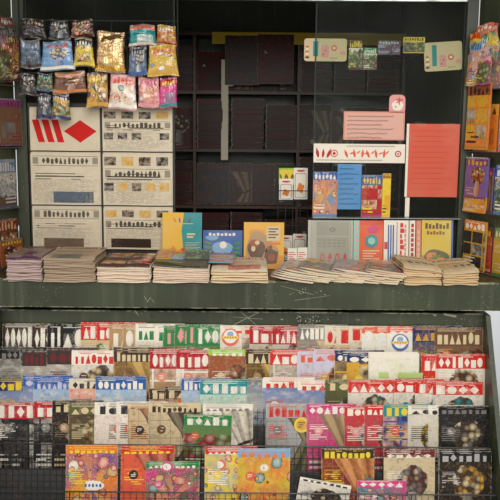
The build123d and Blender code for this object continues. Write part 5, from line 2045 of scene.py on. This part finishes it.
stand_low, stand_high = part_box("card_rack")
foot, head, middle = stand_low.z, stand_high.z, stand_low.z + 0.300
left, right = stand_low.x + 0.003, stand_high.x - 0.003
front, back = stand_low.y + 0.003, stand_high.y - 0.003
stand_lines = []
for x in (left, right):
    stand_lines.append(upright(x, back, foot, head))
    stand_lines.append(upright(x, front, foot + 0.003, foot + 0.05))
    stand_lines.append(upright(x, front, middle, middle + 0.045))
for z in (foot + 0.003, foot + 0.05, middle, middle + 0.045):
    stand_lines.append(((left, front, z), (right, front, z), to_front))
    stand_lines += [((x, front, z), (x, back, z), to_front) for x in (left, right)]
for i in range(7):
    z = foot + 0.03 + i * (head - foot - 0.033) / 6
    stand_lines.append(((left, back, z), (right, back, z), to_front))
for i in range(1, 4):
    stand_lines.append(upright(left + (right - left) * i / 4, back, foot, head - 0.002))
wires.grow("card_stand", stand_lines, black_wire, "black_wire", "card_rack", Radius=0.0024)
cards = Stock("cards", card=card_ink)


def card_on_stand(x, z, wide, tall, shade, forward):
    """A card on the stand, in millimetres from the stand's lower left."""
    place = shift((left + x / 1000, back - 0.006 - forward, foot + z / 1000)) @ turned(-4, "X")
    cards.patch(place, card_of(0, 0, wide, tall, 3), 0.001, shade)
    return Collage(cards, place @ shift((0, -0.0008, 0)))


tag = card_on_stand(2, 372, 84, 78, "lime", 0.004)
tag.lay("yellow", card_of(4, 8, 80, 70, 10))
tag.lay("olive", *[leaf_of(14 + 15 * k, 22, 32, 18 - 30 * (k % 2)) for k in range(5)])
for x, z, wide, tall, forward in (
    (4, 296, 66, 104, 0.014), (74, 302, 66, 150, 0.010), (4, 6, 68, 120, 0.008), (74, 6, 66, 128, 0.012),
):
    card = card_on_stand(x, z, wide, tall, "white", forward)
    card.lay("soot", card_of(6, 6, wide - 6, tall - 26, 8))
    card.lay("white", card_of(8, 8, wide - 8, tall - 28, 7))
    card.lay("orange", oval(wide * 0.5, tall * 0.36, wide * 0.5, tall * 0.3, 16, 0.2, 4))
    card.lay("red", oval(wide * 0.5, tall - 14, wide * 0.6, 9, 12, 0.1))
cards.finish("card_sheet", sharp=50)

# %% [markdown]
# The cabin's sides and back are sheet steel on a frame. Joints between sheets are closed by flat
# cover strips with domed rivets, as on many kiosks of this kind. The roof has standing seams that
# run straight up from the eaves, so that rain can't creep in at the joints. None of this shows
# from the front, so its spacing is a guess; it is kept plain.

# %% Cover strips and rivets
rear_y, low_z, high_z = 1.25, 0.125, 2.455
strip_out, rivet_out, rivet_off, rivet_inset = 0.0020, 0.0045, 0.013, 0.03
strip_lines, rivet_lines = [], []


def cover_strip(x, y, way):
    """A cover strip up a wall, with a row of rivets along each of its edges."""
    strip_lines.append(upright(x + way[0] * strip_out, y + way[1] * strip_out, low_z, high_z, way))
    for off in (-rivet_off, rivet_off):
        rivet_x = x + way[0] * rivet_out + off * abs(way[1])
        rivet_y = y + way[1] * rivet_out + off * abs(way[0])
        rivet_lines.append(upright(rivet_x, rivet_y, low_z + rivet_inset, high_z - rivet_inset, way))


for side, spots in ((-1, (-0.385, 0.12, 0.66, 1.215)), (1, (-0.385, 0.27, 1.215))):
    for y in spots:
        cover_strip(side * side_x, y, (side, 0, 0))
wing_back = 0.0308
for side in (-1, 1):
    wing = wing_place(side)
    way = (wing @ Vector((0, 1, 0)) - wing @ Vector((0, 0, 0))).normalized()
    for along in (0.06, 0.50):
        low = wing @ Vector((along, wing_back, 0.95))
        strip_lines.append((low, low + Vector((0, 0, 1.31)), way))
    for z in (0.972, 1.605, 2.238):
        strip_lines.append((*[wing @ Vector((along, wing_back, z)) for along in (0.082, 0.478)], way))
for x in (-1.012, -0.345, 0.345, 1.012):
    cover_strip(x, rear_y, to_rear)
strip_sizes = dict(Width=0.046, Thickness=0.008, Chamfer=0.003)
bars.grow("cover_strips", strip_lines, cabin_green, "green_paint", **strip_sizes)
rivets.grow("rivets", rivet_lines, cabin_green, "green_paint", sharp=60, Pitch=0.085, Radius=0.0052)

# %% Roof seams
eave_x, eave_y, ridge_share, eave_z, top_z = 1.310, 1.300, 0.35, 2.670, 2.840
seam_pitch = 0.37
seam_lines = []
for turn in range(4):
    half_run, half_out = (eave_x, eave_y) if turn % 2 == 0 else (eave_y, eave_x)
    normal = Vector((0, eave_z - top_z, half_out * (1 - ridge_share))).normalized()
    spin = Matrix.Rotation(pi / 2 * turn, 3, "Z")
    for i in range(-3, 4):
        across = i * seam_pitch
        reach = min(0.92, (1 - abs(across) / half_run) / (1 - ridge_share) - 0.03)
        low = Vector((across, -half_out, eave_z))
        high = Vector((across, -half_out * ridge_share, top_z))
        ends = [spin @ (low.lerp(high, share) + normal * 0.004) for share in (0.01, reach)]
        seam_lines.append((*ends, spin @ normal))
for x, y in ((-1, -1), (-1, 1), (1, -1), (1, 1)):
    low = Vector((x * eave_x, y * eave_y, eave_z))
    high = Vector((x * eave_x * ridge_share, y * eave_y * ridge_share, top_z))
    way = Vector((x * 0.13, y * 0.13, 1)).normalized()
    seam_lines.append((*[low.lerp(high, share) + way * 0.001 for share in (0.012, 0.93)], way))
seam_sizes = dict(Width=0.022, Thickness=0.016, Chamfer=0.004)
bars.grow("roof_seams", seam_lines, roof_green, "roof_paint", **seam_sizes)

# %% [markdown]
# Small parts that make the cabin work: rubber seals and a finger pull on each sliding pane, three
# hinges and a lock plate on the side door, S-hooks that hold the bags to their rails, and the wire
# bindings of the calendars on the right wing.

# %% Seals, pulls, hinges, hooks and bindings
seal_black = steel("seal_rubber", (26, 26, 25), gloss=0.2, rust=0.0)
pane_low, pane_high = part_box("sliding_panes")
hatch_edge, pull_x = 0.315, 0.336
pane_y, seal_low, seal_high = pane_high.y, pane_low.z + 0.002, pane_high.z - 0.002
seal_lines = []
for side in (-1, 1):
    for x in (hatch_edge + 0.003, pane_high.x - 0.003):
        seal_lines.append(upright(side * x, pane_y + 0.001, seal_low, seal_high, to_rear))
bars.grow("pane_seals", seal_lines, seal_black, "dark_steel", Width=0.006, Thickness=0.0045, Chamfer=0.001)
pull_lines = [upright(side * pull_x, pane_y + 0.004, 1.30, 1.40, to_rear) for side in (-1, 1)]
bars.grow("pane_pulls", pull_lines, aluminium, "aluminium_track", Width=0.018, Thickness=0.008, Chamfer=0.002)
hinge_lines = [upright(1.0365, 1.082, z - 0.045, z + 0.045, to_right) for z in (0.42, 1.10, 1.78)]
wires.grow("door_hinges", hinge_lines, ledge_steel, "dark_steel", Radius=0.008)
plate_lines = [upright(1.0335, 0.395, 0.93, 1.14, to_right)]
bars.grow("lock_plate", plate_lines, aluminium, "dark_steel", Width=0.042, Thickness=0.003, Chamfer=0.001)
rails = (1.815, 1.900, 2.012, 2.125)
hook_lines = []
for (left, right, _, top, step), *_ in table(BAGS):
    x, y, z = (left + right) / 2000, bag_y - step * bag_step - 0.012, top / 1000
    rail = min((height for height in rails if height > z - 0.03), default=rails[-1])
    hook_lines.append(((x, y, z - 0.012), (x, bag_y + 0.004, max(rail, z) - 0.003), to_front))
wires.grow("bag_hooks", hook_lines, aluminium, "black_wire", Radius=0.0009)
binding_lines = []
for (side, level, raised, out, tall), *_ in calendars[:2]:
    ring_z = ledge_top(level) + raised / 1000 + tall - 0.002
    start, end = [wing_place(side) @ Vector((x, out - 0.005, ring_z)) for x in (0.009, 0.144)]
    binding_lines.append((start, end, (end - start).normalized()))
ring_sizes = dict(Pitch=0.0085, Radius=0.0065, Wire=0.0007)
rings.grow("bindings", binding_lines, aluminium, "aluminium_track", sharp=60, **ring_sizes)
